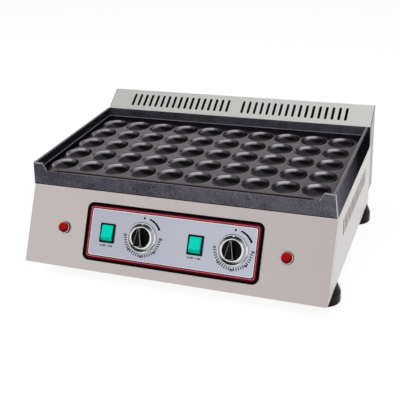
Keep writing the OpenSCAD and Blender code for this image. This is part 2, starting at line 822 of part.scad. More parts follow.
module lamp_lens(side)
    on_panel(side * lamp_x) translate([0, 0, lamp_flange_t])
        rotate_extrude() polygon([[0, 0], [lamp_lens_r, 0], [lamp_lens_r, lamp_lens_h * lens_bevel],
                                  [lamp_lens_r * lens_bevel, lamp_lens_h], [0, lamp_lens_h]]);

module left_lamp_lens() color("firebrick") lamp_lens(-1);
module right_lamp_lens() color("firebrick") lamp_lens(1);

module lamp_nuts() color("gray")
    for (s = [-1, 1])
        on_panel(s * lamp_x) translate([0, 0, -sheet - lamp_nut_t]) nut(lamp_barrel_r, lamp_nut_t);

// Feet and base fasteners

module foot(p)
    translate([p.x, p.y, 0]) rotate_extrude() polygon([
        [foot_bolt_d / 2 + pass_clear, bolt_recess_h], [bolt_recess_r, bolt_recess_h], [bolt_recess_r, 0],
        [foot_d / 2 - foot_edge, 0], [foot_d / 2, foot_edge], [foot_d / 2, foot_band_h],
        [foot_top_d / 2, foot_h], [foot_bolt_d / 2 + pass_clear, foot_h]]);

module front_left_foot() color("black") foot(foot_places[0]);
module front_right_foot() color("black") foot(foot_places[1]);
module rear_left_foot() color("black") foot(foot_places[2]);
module rear_right_foot() color("black") foot(foot_places[3]);

module foot_bolts() color("gray")
    for (p = foot_places) translate([p.x, p.y, bolt_recess_h - bolt_head_h]) {
        cylinder(r = bolt_head_r, h = bolt_head_h);
        cylinder(r = foot_bolt_d / 2, h = bolt_head_h - bolt_recess_h + z_base + bolt_end);
    }

// Sheets under a foot's nut: the pan, and at the rear the rear panel's flange on it
function nut_seat(p) = z_base + (p.y > y_rear - bottom_flange ? 2 : 1) * sheet;

module foot_nuts() color("gray")
    for (p = foot_places)
        translate([p.x, p.y, nut_seat(p)]) nut(foot_bolt_d / 2, foot_nut_h);

module base_screws() color("silver")
    for (x = base_screw_x) translate([x, base_screw_y, z_base]) {
        translate([0, 0, -base_screw_r]) cylinder(r = 2 * base_screw_r, h = base_screw_r);
        cylinder(r = base_screw_r, h = 2 * sheet + base_screw_end);
    }

// Supply entry and wiring

// Places children on the rear face at the gland, with Z pointing out of the machine
module on_gland()
    translate([gland_x, y_rear, gland_z]) rotate([-90, 0, 0]) children();

module cable_gland() color("dimgray")
    on_gland() difference() {
        union() {
            translate([0, 0, -gland_in]) cylinder(r = gland_thread_r, h = gland_in + cut);
            hexagon(gland_af, gland_flange_t);
            cylinder(r = gland_spigot_r, h = gland_flange_t + gland_spigot_l);
        }
        translate([0, 0, -gland_in - cut])
            cylinder(r = gland_bore_r, h = gland_in + gland_flange_t + gland_spigot_l + 2 * cut);
    }

module gland_cap() color("dimgray")
    on_gland() translate([0, 0, gland_flange_t]) difference() {
        union() {
            hexagon(gland_af, gland_cap_l);
            translate([0, 0, gland_cap_l - cut])
                cylinder(r1 = gland_af / 2 - gland_edge, r2 = gland_spigot_r, h = gland_nose_l + cut);
        }
        translate([0, 0, -cut]) cylinder(r = gland_spigot_r + run_clear, h = gland_spigot_l + cut);
        cylinder(r = gland_bore_r, h = gland_cap_l + gland_nose_l + cut);
    }

module gland_nut() color("dimgray")
    on_gland() translate([0, 0, -sheet - nut_h]) nut(gland_thread_r, nut_h);

module terminal_block() color("ivory")
    translate([block_x, block_y, z_base + sheet]) difference() {
        translate([-block_w / 2, -block_d / 2, 0]) cube([block_w, block_d, block_h]);
        for (x = block_entries)
            translate([x, 0, block_h - block_hole_h]) cylinder(r = block_hole_r, h = block_hole_h + cut);
    }

module earth_stud() color("goldenrod")
    translate([earth_x, earth_y, z_base + sheet]) {
        cylinder(r = earth_r, h = earth_h);
        translate([0, 0, earth_nut_z]) nut(earth_r, earth_nut_h);
    }

// Unit vector, and a smooth path through route points by Catmull-Rom segments
function unit(v) = v / norm(v);
function blend(a, b, c, d, t) =
    b + t / 2 * (c - a + t * (2 * a - 5 * b + 4 * c - d + t * (3 * b - a - 3 * c + d)));
function smooth(p, steps) = concat(
    [for (i = [0 : len(p) - 2], k = [0 : steps - 1])
        blend(p[max(i - 1, 0)], p[i], p[i + 1], p[min(i + 2, len(p) - 1)], k / steps)],
    [p[len(p) - 1]]);
function tangent(p, i) = unit(p[min(i + 1, len(p) - 1)] - p[max(i - 1, 0)]);
function square_to(t, v) = unit(v - t * (t * v));

// Round tube along a route: rings carried along the path without twist
module tube(route, r, sides = 8, steps = 3) {
    path = smooth(route, steps);
    last = len(path) - 1;
    ends = [route[1] - route[0], route[len(route) - 1] - route[len(route) - 2]];
    ways = [for (i = [0 : last]) i == 0 ? unit(ends[0]) : i == last ? unit(ends[1]) : tangent(path, i)];
    normals = [for (i = 0, n = square_to(ways[0], [0.3, 0.5, 0.8]); i <= last;
                    i = i + 1, n = square_to(ways[min(i, last)], n)) n];
    points = [for (i = [0 : last], k = [0 : sides - 1])
        let (a = 360 * k / sides)
            path[i] + r * (cos(a) * normals[i] + sin(a) * cross(ways[i], normals[i]))];
    walls = [for (i = [0 : last - 1], k = [0 : sides - 1])
        let (a = i * sides + k, b = i * sides + (k + 1) % sides)
            each [[a, a + sides, b], [b, a + sides, b + sides]]];
    first_cap = [for (k = [1 : sides - 2]) [0, k, k + 1]];
    last_cap = [for (k = [1 : sides - 2]) last * sides * [1, 1, 1] + [0, k + 1, k]];
    polyhedron(points, concat(walls, first_cap, last_cap));
}

tip = seat_clear;              // gap between a wire's end and the terminal that holds it
lead = 12;                     // straight lead out of a terminal

function switch_tip(zone, s, out) =
    panel_point(switch_at(zone), [0, s * switch_tab_y, -housing_deep - tab_l - out]);
function thermo_tip(zone, s, out) =
    panel_point(knob_at(zone), [s * thermo_tab_x, 0, -sheet - thermo_deep - tab_l - out]);
function leg_tip(side, row, out) =
    [side * (element_end - element_drop), cup_y + row * cup_pitch, element_tip_z - out];
function block_tip(entry, out) =
    [block_x + block_entries[entry], block_y - block_d / 2 - out, block_wire_z];

// Free points of each wire between its two ends
switch_to_thermo = [[15, 24, -4], [45, 24, -6]];
thermo_to_leg = [[[-38, -125, 84], [-22, -100, 95]], [[110, -125, 80], [50, -100, 88]]];
leg_to_block = [[[-2, 92, 95], [40, 102, 75], [100, 108, 60]],
                [[20, 88, 100], [80, 92, 85], [138, 98, 72]]];
block_to_switch = [[[-128, -130, 58], [-100, -90, 50], [20, 20, 50], [118, 85, 51]],
                   [[50, -130, 62], [90, -60, 60], [160, 40, 58]]];

module wires(zone) {
    side = 2 * zone - 1;
    start = switch_tip(zone, 1, lead);
    tube([switch_tip(zone, 1, tip), start, for (p = switch_to_thermo) start + p - [0, 12, 0],
          thermo_tip(zone, -1, lead), thermo_tip(zone, -1, tip)], wire_r);
    tube(concat([thermo_tip(zone, 1, tip), thermo_tip(zone, 1, lead)], thermo_to_leg[zone],
                [leg_tip(side, -1.5, lead), leg_tip(side, -1.5, tip)]), wire_r);
    tube(concat([leg_tip(side, 1.5, tip), leg_tip(side, 1.5, lead)], leg_to_block[zone],
                [block_tip(2 * zone, lead), block_tip(2 * zone, tip)]), wire_r);
    tube(concat([switch_tip(zone, -1, tip), switch_tip(zone, -1, lead)], block_to_switch[zone],
                [block_tip(2 * zone + 1, lead), block_tip(2 * zone + 1, tip)]), wire_r);
}

module left_wires() color("saddlebrown") wires(0);
module right_wires() color("saddlebrown") wires(1);

// Sensing bulb under the plate and the capillary tube that joins it to its thermostat
capillary_way = [[[-60, -120, 98], [-64, -60, 118]], [[115, -120, 98], [92, -60, 118]]];

module sensor(zone) {
    side = 2 * zone - 1;
    knob_x = knob_at(zone);
    back = -sheet - thermo_deep;
    tail = [side * (bulb_x + bulb_in), cup_y, bulb_z];
    translate([side * (bulb_x + bulb_l / 2), cup_y, bulb_z]) rotate([0, 90, 0])
        cylinder(r = bulb_r, h = bulb_l, center = true);
    tube(concat([panel_point(knob_x, [0, capillary_up, back - tip]),
                 panel_point(knob_x, [0, capillary_up, back - lead])],
                capillary_way[zone],
                [[side * capillary_x, cup_y - 20, shield_z - 22], [side * capillary_x, cup_y, shield_z],
                 [side * (capillary_x + 2), cup_y, shield_z + 18],
                 [side * (capillary_x + 12), cup_y, bulb_z - 1], tail - [side * 12, 0, 0], tail]),
         capillary_r);
}

module left_sensor() color("peru") sensor(0);
module right_sensor() color("peru") sensor(1);

base_pan();
front_panel();
left_side_panel();
right_side_panel();
rear_panel();
hood_shell();
left_hood_end();
right_hood_end();
griddle_plate();
left_element();
right_element();
element_clamps();
clamp_studs();
clamp_nuts();
heat_shield();
control_fascia();
left_thermostat();
right_thermostat();
bush_nuts();
left_sensor();
right_sensor();
left_spindle();
right_spindle();
left_knob();
right_knob();
left_knob_rings();
right_knob_rings();
left_switch();
right_switch();
left_rocker();
right_rocker();
left_lamp_base();
right_lamp_base();
left_lamp_bezel();
right_lamp_bezel();
left_lamp_lens();
right_lamp_lens();
lamp_nuts();
front_left_foot();
front_right_foot();
rear_left_foot();
rear_right_foot();
foot_bolts();
foot_nuts();
base_screws();
cable_gland();
gland_cap();
gland_nut();
terminal_block();
earth_stud();
left_wires();
right_wires();
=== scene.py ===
# Mini pancake griddle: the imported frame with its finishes, its casting, knobs, lamps and printed fascia
import json
import math

import bmesh
import bpy
import numpy as np
from mathutils import Matrix, Vector
from mathutils.geometry import delaunay_2d_cdt

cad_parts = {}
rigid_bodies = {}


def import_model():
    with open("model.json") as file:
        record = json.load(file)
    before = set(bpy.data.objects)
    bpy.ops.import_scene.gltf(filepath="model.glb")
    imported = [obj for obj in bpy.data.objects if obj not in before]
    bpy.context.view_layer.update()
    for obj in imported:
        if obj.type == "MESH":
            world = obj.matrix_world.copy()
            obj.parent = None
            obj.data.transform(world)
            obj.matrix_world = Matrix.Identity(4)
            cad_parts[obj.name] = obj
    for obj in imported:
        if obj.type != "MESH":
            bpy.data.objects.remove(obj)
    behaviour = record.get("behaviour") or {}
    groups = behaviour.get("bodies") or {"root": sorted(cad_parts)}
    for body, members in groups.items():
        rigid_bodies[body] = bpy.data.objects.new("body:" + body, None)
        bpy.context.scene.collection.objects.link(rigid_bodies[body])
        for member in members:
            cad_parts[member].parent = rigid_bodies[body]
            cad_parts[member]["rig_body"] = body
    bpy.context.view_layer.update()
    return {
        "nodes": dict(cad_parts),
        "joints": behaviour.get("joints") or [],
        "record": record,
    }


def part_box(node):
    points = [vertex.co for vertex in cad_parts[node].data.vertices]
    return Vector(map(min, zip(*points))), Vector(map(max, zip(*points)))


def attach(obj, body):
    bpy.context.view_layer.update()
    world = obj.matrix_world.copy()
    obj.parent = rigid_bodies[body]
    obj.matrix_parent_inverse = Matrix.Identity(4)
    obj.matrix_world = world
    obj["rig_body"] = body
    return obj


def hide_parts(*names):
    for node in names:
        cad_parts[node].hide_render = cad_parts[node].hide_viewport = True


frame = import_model()
nodes = frame["nodes"]
scene = bpy.context.scene
mm = 0.001
print("frame:", len(nodes), "nodes")


# Camera

view = {
    "place": (510.23, -1292.54, 782.78),  # mm
    "yaw": 22.08, "pitch": 26.19, "roll": -3.5,  # degrees
    "focal": 753.8, "picture": 400,  # pixels
    "sensor": 36.0,  # mm
}


def makeCamera():
    # looks along its yaw and down by its pitch, then rolls about that line
    yaw, pitch, roll = (math.radians(view[key]) for key in ("yaw", "pitch", "roll"))
    ahead = Vector((-math.sin(yaw) * math.cos(pitch), math.cos(yaw) * math.cos(pitch), -math.sin(pitch)))
    right = Vector((math.cos(yaw), math.sin(yaw), 0))
    up = right.cross(ahead)
    across = right * math.cos(roll) + up * math.sin(roll)
    upward = up * math.cos(roll) - right * math.sin(roll)
    lens = bpy.data.cameras.new("photoCamera")
    lens.sensor_width = view["sensor"]
    lens.lens = view["focal"] / view["picture"] * view["sensor"]
    camera = bpy.data.objects.new("photoCamera", lens)
    camera.matrix_world = Matrix((across, upward, -ahead)).transposed().to_4x4()
    camera.location = Vector(view["place"]) * mm
    scene.collection.objects.link(camera)
    scene.camera = camera


makeCamera()
scene.view_settings.view_transform = "Standard"
print("camera: set")


# Shader maths: a wire is one socket of a node tree, and arithmetic on it adds Math nodes

class Wire:
    def __init__(self, tree, socket=None):
        self.tree, self.socket = tree, socket

    def node(self, kind, settings=None, sockets=None, out=0):
        made = self.tree.nodes.new("ShaderNode" + kind)
        for key, value in (settings or {}).items():
            setattr(made, key, value)
        for key, value in (sockets or {}).items():
            if isinstance(value, Wire):
                self.tree.links.new(value.socket, made.inputs[key])
            else:
                made.inputs[key].default_value = value
        return Wire(self.tree, made.outputs[out] if made.outputs else None)

    def calc(self, operation, *values):
        return self.node("Math", {"operation": operation}, dict(enumerate(values)))

    def mix(self, share, first, second):  # colours
        return self.node("Mix", {"data_type": "RGBA"}, {0: share, 6: first, 7: second}, 2)

    def part(self, axis):  # one number of a vector
        return self.node("SeparateXYZ", {}, {"Vector": self}, axis)

    def coord(self, axis, kind="Object"):
        return self.node("TexCoord", out=kind).part(axis)

    def near(self, middle, half):  # 1 within that distance of the middle, 0 elsewhere
        return self.calc("COMPARE", self, middle, half)

    def ramp(self, start, end, low=0.0, high=1.0, kind="LINEAR"):
        return self.node("MapRange", {"interpolation_type": kind}, {
            "Value": self, "From Min": start, "From Max": end, "To Min": low, "To Max": high})

    def __add__(self, other):
        return self.calc("ADD", self, other)

    def __sub__(self, other):
        return self.calc("SUBTRACT", self, other)

    def __rsub__(self, other):
        return self.calc("SUBTRACT", other, self)

    def __mul__(self, other):
        return self.calc("MULTIPLY", self, other)

    def __truediv__(self, other):
        return self.calc("DIVIDE", self, other)

    def __pow__(self, other):
        return self.calc("POWER", self, other)

    def __abs__(self):
        return self.calc("ABSOLUTE", self)

    def __gt__(self, other):
        return self.calc("GREATER_THAN", self, other)

    def __lt__(self, other):
        return self.calc("LESS_THAN", self, other)

    def __or__(self, other):  # the larger of two
        return self.calc("MAXIMUM", self, other)

    def __and__(self, other):  # the smaller of two
        return self.calc("MINIMUM", self, other)

    __radd__ = __add__
    __rmul__ = __mul__


def newFinish(name):
    finish = bpy.data.materials.new(name)
    finish.use_nodes = True
    finish.node_tree.nodes.clear()
    return finish, Wire(finish.node_tree)


def surface(tool, sockets):
    shader = tool.node("BsdfPrincipled", {}, sockets)
    tool.node("OutputMaterial", {}, {"Surface": shader})


def shade(colour, factor=1.0):
    return tuple(min(1.0, c * factor) for c in colour) + (1.0,)


def tones(tool, share, colour, dark, light):  # one colour, from a darker to a lighter tone of it
    return tool.mix(share, shade(colour, dark), shade(colour, light))


def cloud(tool, waves, detail=3.0, rough=0.55):  # waves to the metre, each way or along X, Y and Z
    place = tool.node("TexCoord", out="Object")
    place = tool.node("Mapping", {}, {"Vector": place, "Scale": tuple(np.zeros(3) + waves)})
    return tool.node("TexNoise", {}, {"Vector": place, "Scale": 1.0, "Detail": detail, "Roughness": rough})


def bumps(tool, strength, height, depth=0.1):  # depth in mm
    return tool.node("Bump", {}, {"Strength": strength, "Distance": depth * mm, "Height": height})


# Sizes of the griddle plate, which its finish needs too

plate = {
    "columns": 10, "rows": 5, "pitch": 56.2, "front": 45.5,  # mm, from the plate's front to the first cups
    "cupWide": 52.6, "cupDeep": 14.0, "cupEdge": 1.4,
    "deck": 27.7, "draft": 4.5, "rim": 5.5, "rimRound": 1.2, "wallFoot": 3.0,
    "cornerIn": 3.0, "cornerOut": 2.2,
    "lip": 5.5, "lipHigh": 0.5, "lipRound": 0.9, "wing": 21.0, "wingSlope": 9.0,
    "groove": 4.0, "grooveDeep": 2.0, "grooveEnd": 50.0, "grooveRun": 0.8,
    "skirt": 8.0, "pocket": 8.0, "bottomEdge": 0.8,
    "sideSteps": 20, "bowlSteps": 9, "edgeSteps": 5, "arcSteps": 6,  # the lip has six-point groups too
    "dense": {  # where points lie closer together: spread in mm, and how many more
        "corner": (3.5, 12.0), "wing": (6.0, 6.0), "groove": (1.5, 8.0), "side": (7.0, 10.0)},
}
castLook = {  # mm, and shares from 0 to 1
    "frontSkin": 0.7, "rearSkin": 0.3, "rimSkin": 0.9, "lipSkin": 2.0,  # where bare metal ends
    "edgeHighlight": 1.7, "edgeHighlightEnd": 0.25, "edgeHighlightCrest": 0.5, "edgeHighlightRim": 0.22,  # painted highlights on the edges
    "deckShadeByWalls": 26.0, "deckShadeByWallsShare": 0.6,  # painted shade: the deck darkens towards the end walls
    "endShade": 205.0, "endShadePower": 0.8, "paintedEndLight": 0.45,  # painted light and shade: the ends go from pale at the front to black
    "rearShade": 0.5, "innerWallShade": 0.82, "wallBaseHighlight": (1.5, 1.1),  # painted shade on the rear and inner walls, and a painted highlight line at their foot
    "gutterIn": 1.2, "gutterWide": 1.6, "grooveEndShade": 5.6,  # painted shade: black in the drip groove and round its ends
    "shadow": 1.6, "cupTop": 0.2,
    "ring": (6.5, 3.2), "ringFade": (-0.15, 0.12), "ringLeast": 0.18,  # painted highlight ring: depths, and by which way a cup looks
    "pebbles": 430.0, "fine": 1500.0, "patches": 30.0,  # waves to the metre
    "smooth": 0.17, "rougher": 0.43,
}


# Finishes

steelLook = {"long": 5.0, "fine": 900.0, "patches": 7.0}  # waves to the metre


def steelFinish(name, colour, brushed, rough=0.18, brush=0.10, metal=0.85, calm=0.33, lean=0.0, spots=()):
    # rolled sheet: fine lines along one axis and a faint cloudiness; its slow change of tone from left to
    # right is painted light and shade, faces that look into the body are dull with painted shade, and marked
    # spots are painted shade
    finish, tool = newFinish(name)
    inner = tool.node("Attribute", {"attribute_name": "inner"}, {}, "Fac")
    lines = cloud(tool, [steelLook["long" if axis == brushed else "fine"] for axis in "XYZ"], 4.0, 0.65)
    patches = cloud(tool, steelLook["patches"], 2.0)
    # the lean paints light and shade: the tone rises or falls from left to right
    tone = (lines * 0.6 + patches * 0.4 - 0.5) * calm + tool.coord("X") * lean + 0.5
    outside = tones(tool, tone, colour, 0.8, 1.2)
    for spot in (shadeSpots[key] for key in spots):
        share = tool.coord(spot["axis"], "Normal").near(*spot["facing"])
        for axis, (middle, half) in spot["within"].items():
            share = share * tool.coord(axis).near(middle * mm, half * mm)
        outside = tool.mix(share * spot["share"], outside, shade(spot["colour"]))
    # inner faces: painted shade, near black, where the inside of the body is dark
    surface(tool, {"Base Color": tool.mix(inner, outside, shade(colour, 0.015)),
                   "Metallic": metal - inner * (0.5 * metal),
                   "Roughness": rough + lines * (0.30 * calm) + inner * 0.5,
                   "Normal": bumps(tool, brush, lines)})
    return finish


def castFinish(name, deckColour, cupShadeColour, ringHighlightColour, rawColour, edgeHighlightColour):
    # casting: dark polished deck, cups darker with painted shade and a painted highlight ring below their
    # edge, rough grain on the upright faces under painted light and shade, and painted highlights on the
    # outer edges
    finish, tool = newFinish(name)
    look = castLook
    deckHigh, draft, rim, fillet, lip, wing, wingSlope, groove, grooveEnd = (plate[key] * mm for key in (
        "deck", "draft", "rim", "wallFoot", "lip", "wing", "wingSlope", "groove", "grooveEnd"))
    low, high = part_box("griddle_plate")
    x, y, z = (tool.coord(axis) for axis in "XYZ")
    wide = abs(x)
    deckTop, endIn = low.z + deckHigh, high.x - draft
    rimIn, wingIn = endIn - rim, endIn - wing - wingSlope

    # bare metal: the ends, the front, the rear wall and the walls' inner faces
    ends = wide > endIn
    front = y < low.y + look["frontSkin"] * mm
    rear = y > high.y - draft - rim - look["rearSkin"] * mm
    wallHalf = (high.z - deckTop) / 2
    upright = z.near(deckTop + wallHalf, wallHalf - look["rimSkin"] * mm)
    upright = upright * (y > low.y + lip + look["lipSkin"] * mm)
    raw = ends | front | rear | upright

    # painted highlights on the edges: the front corners whole, the ends, the raised corners' crests and the
    # rims in part
    edge = look["edgeHighlight"] * mm
    atEnd = wide + (z - low.z) * (draft / (high.z - low.z)) > high.x - edge  # upright along the draft
    atFront, atTop = y < low.y + edge, z > high.z - edge
    crest = wide.ramp(wingIn, wingIn + wingSlope, deckTop, high.z)
    atCrest = (z > crest - edge) * (wide > wingIn + mm) * atFront
    edgeHighlight = atEnd * atFront | atEnd * atTop * look["edgeHighlightEnd"] | atCrest * look["edgeHighlightCrest"]
    edgeHighlight = edgeHighlight | atTop * (wide > rimIn) * look["edgeHighlightRim"]

    pebbles = cloud(tool, look["pebbles"], 4.0, 0.7)
    fine = cloud(tool, look["fine"], 2.0)
    patches = cloud(tool, look["patches"])
    deck = tones(tool, patches * 0.6 + fine * 0.4, deckColour, 0.8, 1.2)
    # painted shade on the deck near the end walls
    deckShadeByWalls = wide.ramp(rimIn - look["deckShadeByWalls"] * mm, rimIn - fillet, 0.0, look["deckShadeByWallsShare"])
    deck = tool.mix(deckShadeByWalls * (z < deckTop + mm), deck, shade(deckColour, 0.1))

    # the X term is painted light: the grain grows lighter towards the right
    specks = (pebbles * 0.8 + patches * 0.2 + x * 0.16).ramp(0.41, 0.59)
    grain = tones(tool, specks, rawColour, 0.4, 1.7)
    # painted light and shade on the ends: pale at the front, black towards the rear
    endShade = y.ramp(low.y, low.y + look["endShade"] * mm) ** look["endShadePower"]
    paintedEndLight = tool.mix(look["paintedEndLight"], grain, shade(rawColour, 3.4))
    grain = tool.mix(ends, grain, tool.mix(endShade, paintedEndLight, shade(rawColour, 0.10)))
    # painted shade on the rear and the inner walls
    walls = upright * (1 - rear) * (1 - ends)
    grain = tool.mix(rear * look["rearShade"] | walls * look["innerWallShade"], grain, shade(rawColour, 0.08))
    # painted highlight along the walls' foot fillet
    lineUp, lineHalf = look["wallBaseHighlight"]
    grain = tool.mix(walls * z.near(deckTop + lineUp * mm, lineHalf * mm), grain, shade(rawColour, 2.4))

    # painted shade in the drip groove and round its ends
    reach = abs(y - (low.y + lip + groove / 2 + look["gutterIn"] * mm))
    past = wide - (high.x - grooveEnd)
    grooveShade = (reach < groove / 2 + look["gutterWide"] * mm) * (past < 0.0)
    grooveShade = (grooveShade | ((past * past + reach * reach) ** 0.5 < look["grooveEndShade"] * mm)) * (1 - front)

    foot = z < low.z + look["shadow"] * mm
    # cups are drawn darker than the deck: painted shade
    cup = z < deckTop - look["cupTop"] * mm
    # painted highlight: a brighter ring under each cup's edge, mostly on walls that look to the right
    ring = z.ramp(*(deckTop - depth * mm for depth in look["ring"]), kind="SMOOTHSTEP")
    ring = ring * tool.coord("X", "Normal").ramp(*look["ringFade"], look["ringLeast"], kind="SMOOTHSTEP")
    hollow = tool.mix(ring, shade(cupShadeColour), shade(ringHighlightColour))
    deck = tool.mix(grooveShade, tool.mix(cup, deck, hollow), shade(deckColour, 0.12))
    skin = tool.mix(raw, deck, tool.mix(foot, grain, shade(rawColour, 0.2)))
    surface(tool, {"Base Color": tool.mix(edgeHighlight, skin, shade(edgeHighlightColour)), "Metallic": 1 - raw,
                   "Roughness": look["smooth"] + raw * look["rougher"], "Specular IOR Level": 0.0,
                   "Normal": bumps(tool, 0.25, pebbles * raw + fine * 0.3, 0.2)})
    return finish


def plasticFinish(name, colour, rough, grain=0.0, gloss=0.5):
    # moulded plastic: a fine spark texture whose depth is the grain
    finish, tool = newFinish(name)
    sparks = cloud(tool, 1600.0, 2.0)
    patches = cloud(tool, 60.0, 2.0)
    surface(tool, {"Base Color": tones(tool, patches, colour, 0.88, 1.12), "Specular IOR Level": gloss,
                   "Roughness": rough + patches * 0.06, "Normal": bumps(tool, grain, sparks)})
    return finish


def platedFinish(name, colour, rough):
    # bright plating with faint polishing marks
    finish, tool = newFinish(name)
    polish = cloud(tool, 300.0)
    surface(tool, {"Base Color": tones(tool, polish, colour, 0.95, 1.03), "Metallic": 1.0,
                   "Roughness": rough + polish * 0.05})
    return finish


def lightFinish(name, colour, glow, rough=0.18, dull=0.62, bright=1.25, gloss=0.06):
    # translucent moulding that glows: brighter in patches, with painted light on faces that look up; on the
    # rocker the glow itself is painted light
    finish, tool = newFinish(name)
    patches = cloud(tool, 130.0, 2.0)
    # the normal's Z term paints light on faces that look up and shade on those that look down
    tone = tones(tool, patches * 0.5 + tool.coord("Z", "Normal") * 0.9 - 0.2, colour, dull, bright)
    surface(tool, {"Base Color": tone, "Emission Color": tone, "Emission Strength": glow,
                   "Roughness": rough + patches * 0.08, "Specular IOR Level": gloss})
    return finish


def inkFinish(name, colour, rough=0.4, gloss=0.5):
    # screen print: slightly uneven cover
    finish, tool = newFinish(name)
    cover = cloud(tool, 500.0, 2.0)
    surface(tool, {"Base Color": tones(tool, cover, colour, 0.93, 1.05), "Roughness": rough + cover * 0.08,
                   "Specular IOR Level": gloss})
    return finish


shadeSpots = {  # painted shade: which way the surface looks and how closely, and where it lies (mm: middle and half)
    # painted shade on the slots' walls and across the slotted band
    "slotWallShade": {"axis": "X", "facing": (0.0, 0.7), "within": {"Z": (127.0, 17.0)},
                  "share": 1.0, "colour": (0.20, 0.05, 0.04)},
    "slotBandShade": {"axis": "X", "facing": (0.0, 2.0), "within": {"Z": (127.0, 16.5), "Y": (16.5, 117.0)},
                 "share": 0.22, "colour": (0.40, 0.26, 0.24)},
    # painted shadow on the front faces under the hood
    "hoodFrontShadow": {"axis": "Y", "facing": (-1.0, 0.3), "within": {"Z": (205.0, 40.0)},
                  "share": 1.0, "colour": (0.02, 0.02, 0.02)},
}
finishes = {
    # the leans paint light and shade across the front panel, the hood and the fascia
    "frontSheet": steelFinish("frontSheet", (0.528, 0.478, 0.465), "X", lean=-0.35),
    # painted light: the hood and rear panel steel is drawn lighter than the front panel's
    "hoodSheetLit": steelFinish("hoodSheetLit", (0.76, 0.77, 0.745), "X", rough=0.35, metal=0.25, lean=0.8,
                             spots=["hoodFrontShadow"]),
    "sideSheet": steelFinish("sideSheet", (0.55, 0.52, 0.52), "Y", spots=["slotBandShade", "slotWallShade"]),
    # painted shade: the hood's end caps are the same steel drawn darker
    "hoodEndShaded": steelFinish("hoodEndShaded", (0.22, 0.22, 0.216), "Y", metal=0.3),
    "cast": castFinish("coatedCasting", deckColour=(0.104, 0.082, 0.096), cupShadeColour=(0.058, 0.053, 0.059),
                       ringHighlightColour=(0.56, 0.525, 0.575), rawColour=(0.088, 0.083, 0.104),
                       edgeHighlightColour=(0.62, 0.60, 0.64)),
    "zinc": steelFinish("zincPlate", (0.55, 0.55, 0.57), "Z", rough=0.35),
    "sheath": steelFinish("elementSheath", (0.16, 0.16, 0.17), "X", rough=0.45),
    "fascia": steelFinish("fasciaSheet", (0.475, 0.49, 0.575), "X", rough=0.22, brush=0.0, calm=0.10,
                          lean=1.0),
    "blackPlastic": plasticFinish("blackPlastic", (0.004, 0.005, 0.005), 0.45, grain=0.15, gloss=0.04),
    "knobBlack": plasticFinish("knobBlack", (0.003, 0.003, 0.003), 0.22, grain=0.03, gloss=0.06),
    "smoky": platedFinish("smokyTrim", (0.36, 0.36, 0.36), 0.06),
    # painted highlight for the knobs' grip edges
    "gripHighlightGrey": plasticFinish("gripHighlightGrey", (0.30, 0.30, 0.31), 0.30, grain=0.03),
    "chrome": platedFinish("brightTrim", (0.82, 0.82, 0.84), 0.10),
    # painted reflection: the trim's pink tint stands for the red lens shining in it
    "lampTrim": platedFinish("lampTrim", (0.96, 0.88, 0.88), 0.55),
    # painted light: the rocker's glow brightens the green, with no lamp behind it
    "green": lightFinish("paintedGlowGreen", (0.0, 0.50, 0.37), 0.32),
    "red": lightFinish("litRed", (0.30, 0.002, 0.005), 0.10, rough=0.10, dull=0.40, bright=1.7),
    "rubber": plasticFinish("footRubber", (0.011, 0.008, 0.007), 0.30, grain=0.3, gloss=0.12),
    "copper": platedFinish("capillaryCopper", (0.70, 0.38, 0.25), 0.30),
    "brass": platedFinish("earthBrass", (0.75, 0.56, 0.26), 0.25),
    "ivory": plasticFinish("blockIvory", (0.62, 0.57, 0.46), 0.45, grain=0.1),
    "wire": plasticFinish("wireCover", (0.16, 0.07, 0.03), 0.5, grain=0.1),
    "inkBlack": inkFinish("inkBlack", (0.003, 0.002, 0.002), rough=0.35, gloss=0.0),
    "inkRed": inkFinish("inkRed", (0.12, 0.004, 0.010), gloss=0.04),
    "inkPink": inkFinish("inkPink", (0.55, 0.14, 0.17), gloss=0.04),
    "inkWhite": inkFinish("inkWhite", (0.78, 0.76, 0.78)),
}


def pairs(*names):  # the left and the right node of each name
    return [side + "_" + name for name in names for side in ("left", "right")]


nodeFinish = {
    "frontSheet": ["base_pan", "front_panel"],
    "hoodSheetLit": ["hood_shell", "rear_panel"],
    "sideSheet": pairs("side_panel"),
    "hoodEndShaded": pairs("hood_end"),
    "cast": ["griddle_plate"],
    "sheath": pairs("element"),
    "zinc": ["element_clamps", "clamp_studs", "clamp_nuts", "heat_shield", "bush_nuts", *pairs("spindle"),
             "lamp_nuts", "foot_bolts", "foot_nuts", "base_screws"],
    "fascia": ["control_fascia"],
    "blackPlastic": [*pairs("thermostat", "switch", "lamp_base"), "cable_gland", "gland_cap", "gland_nut"],
    "copper": pairs("sensor"),
    "knobBlack": pairs("knob"),
    "chrome": pairs("knob_rings", "lamp_bezel"),
    "green": pairs("rocker"),
    "red": pairs("lamp_lens"),
    "rubber": ["front_left_foot", "front_right_foot", "rear_left_foot", "rear_right_foot"],
    "ivory": ["terminal_block"],
    "brass": ["earth_stud"],
    "wire": pairs("wires"),
}
finishOf = {node: finishes[key] for key, names in nodeFinish.items() for node in names}
slotOf = {row["node"]: row["material_slot"] for row in frame["record"]["subparts"]}
for nodeName, nodeObject in nodes.items():
    nodeObject.data.materials.clear()
    nodeObject.data.materials.append(finishOf[nodeName])
print("finishes:", len(finishes))


# Mesh helpers

quarter = np.linspace(0, math.pi / 2, plate["arcSteps"])  # angles of a quarter circle


def gridFaces(rows, columns):
    # quads of a grid of points whose last column joins the first
    row, column = np.meshgrid(np.arange(rows - 1), np.arange(columns), indexing="ij")
    after = (column + 1) % columns
    corners = [row * columns + column, (row + 1) * columns + column, (row + 1) * columns + after,
               row * columns + after]
    return np.stack(corners, -1).reshape(-1, 4)


def tube(loops):  # closed loops of as many points, each joined to the next
    loops = np.stack(loops)
    return loops, gridFaces(*loops.shape[:2])


def atHeight(plan, height):
    return np.column_stack([plan, np.full(len(plan), height)])


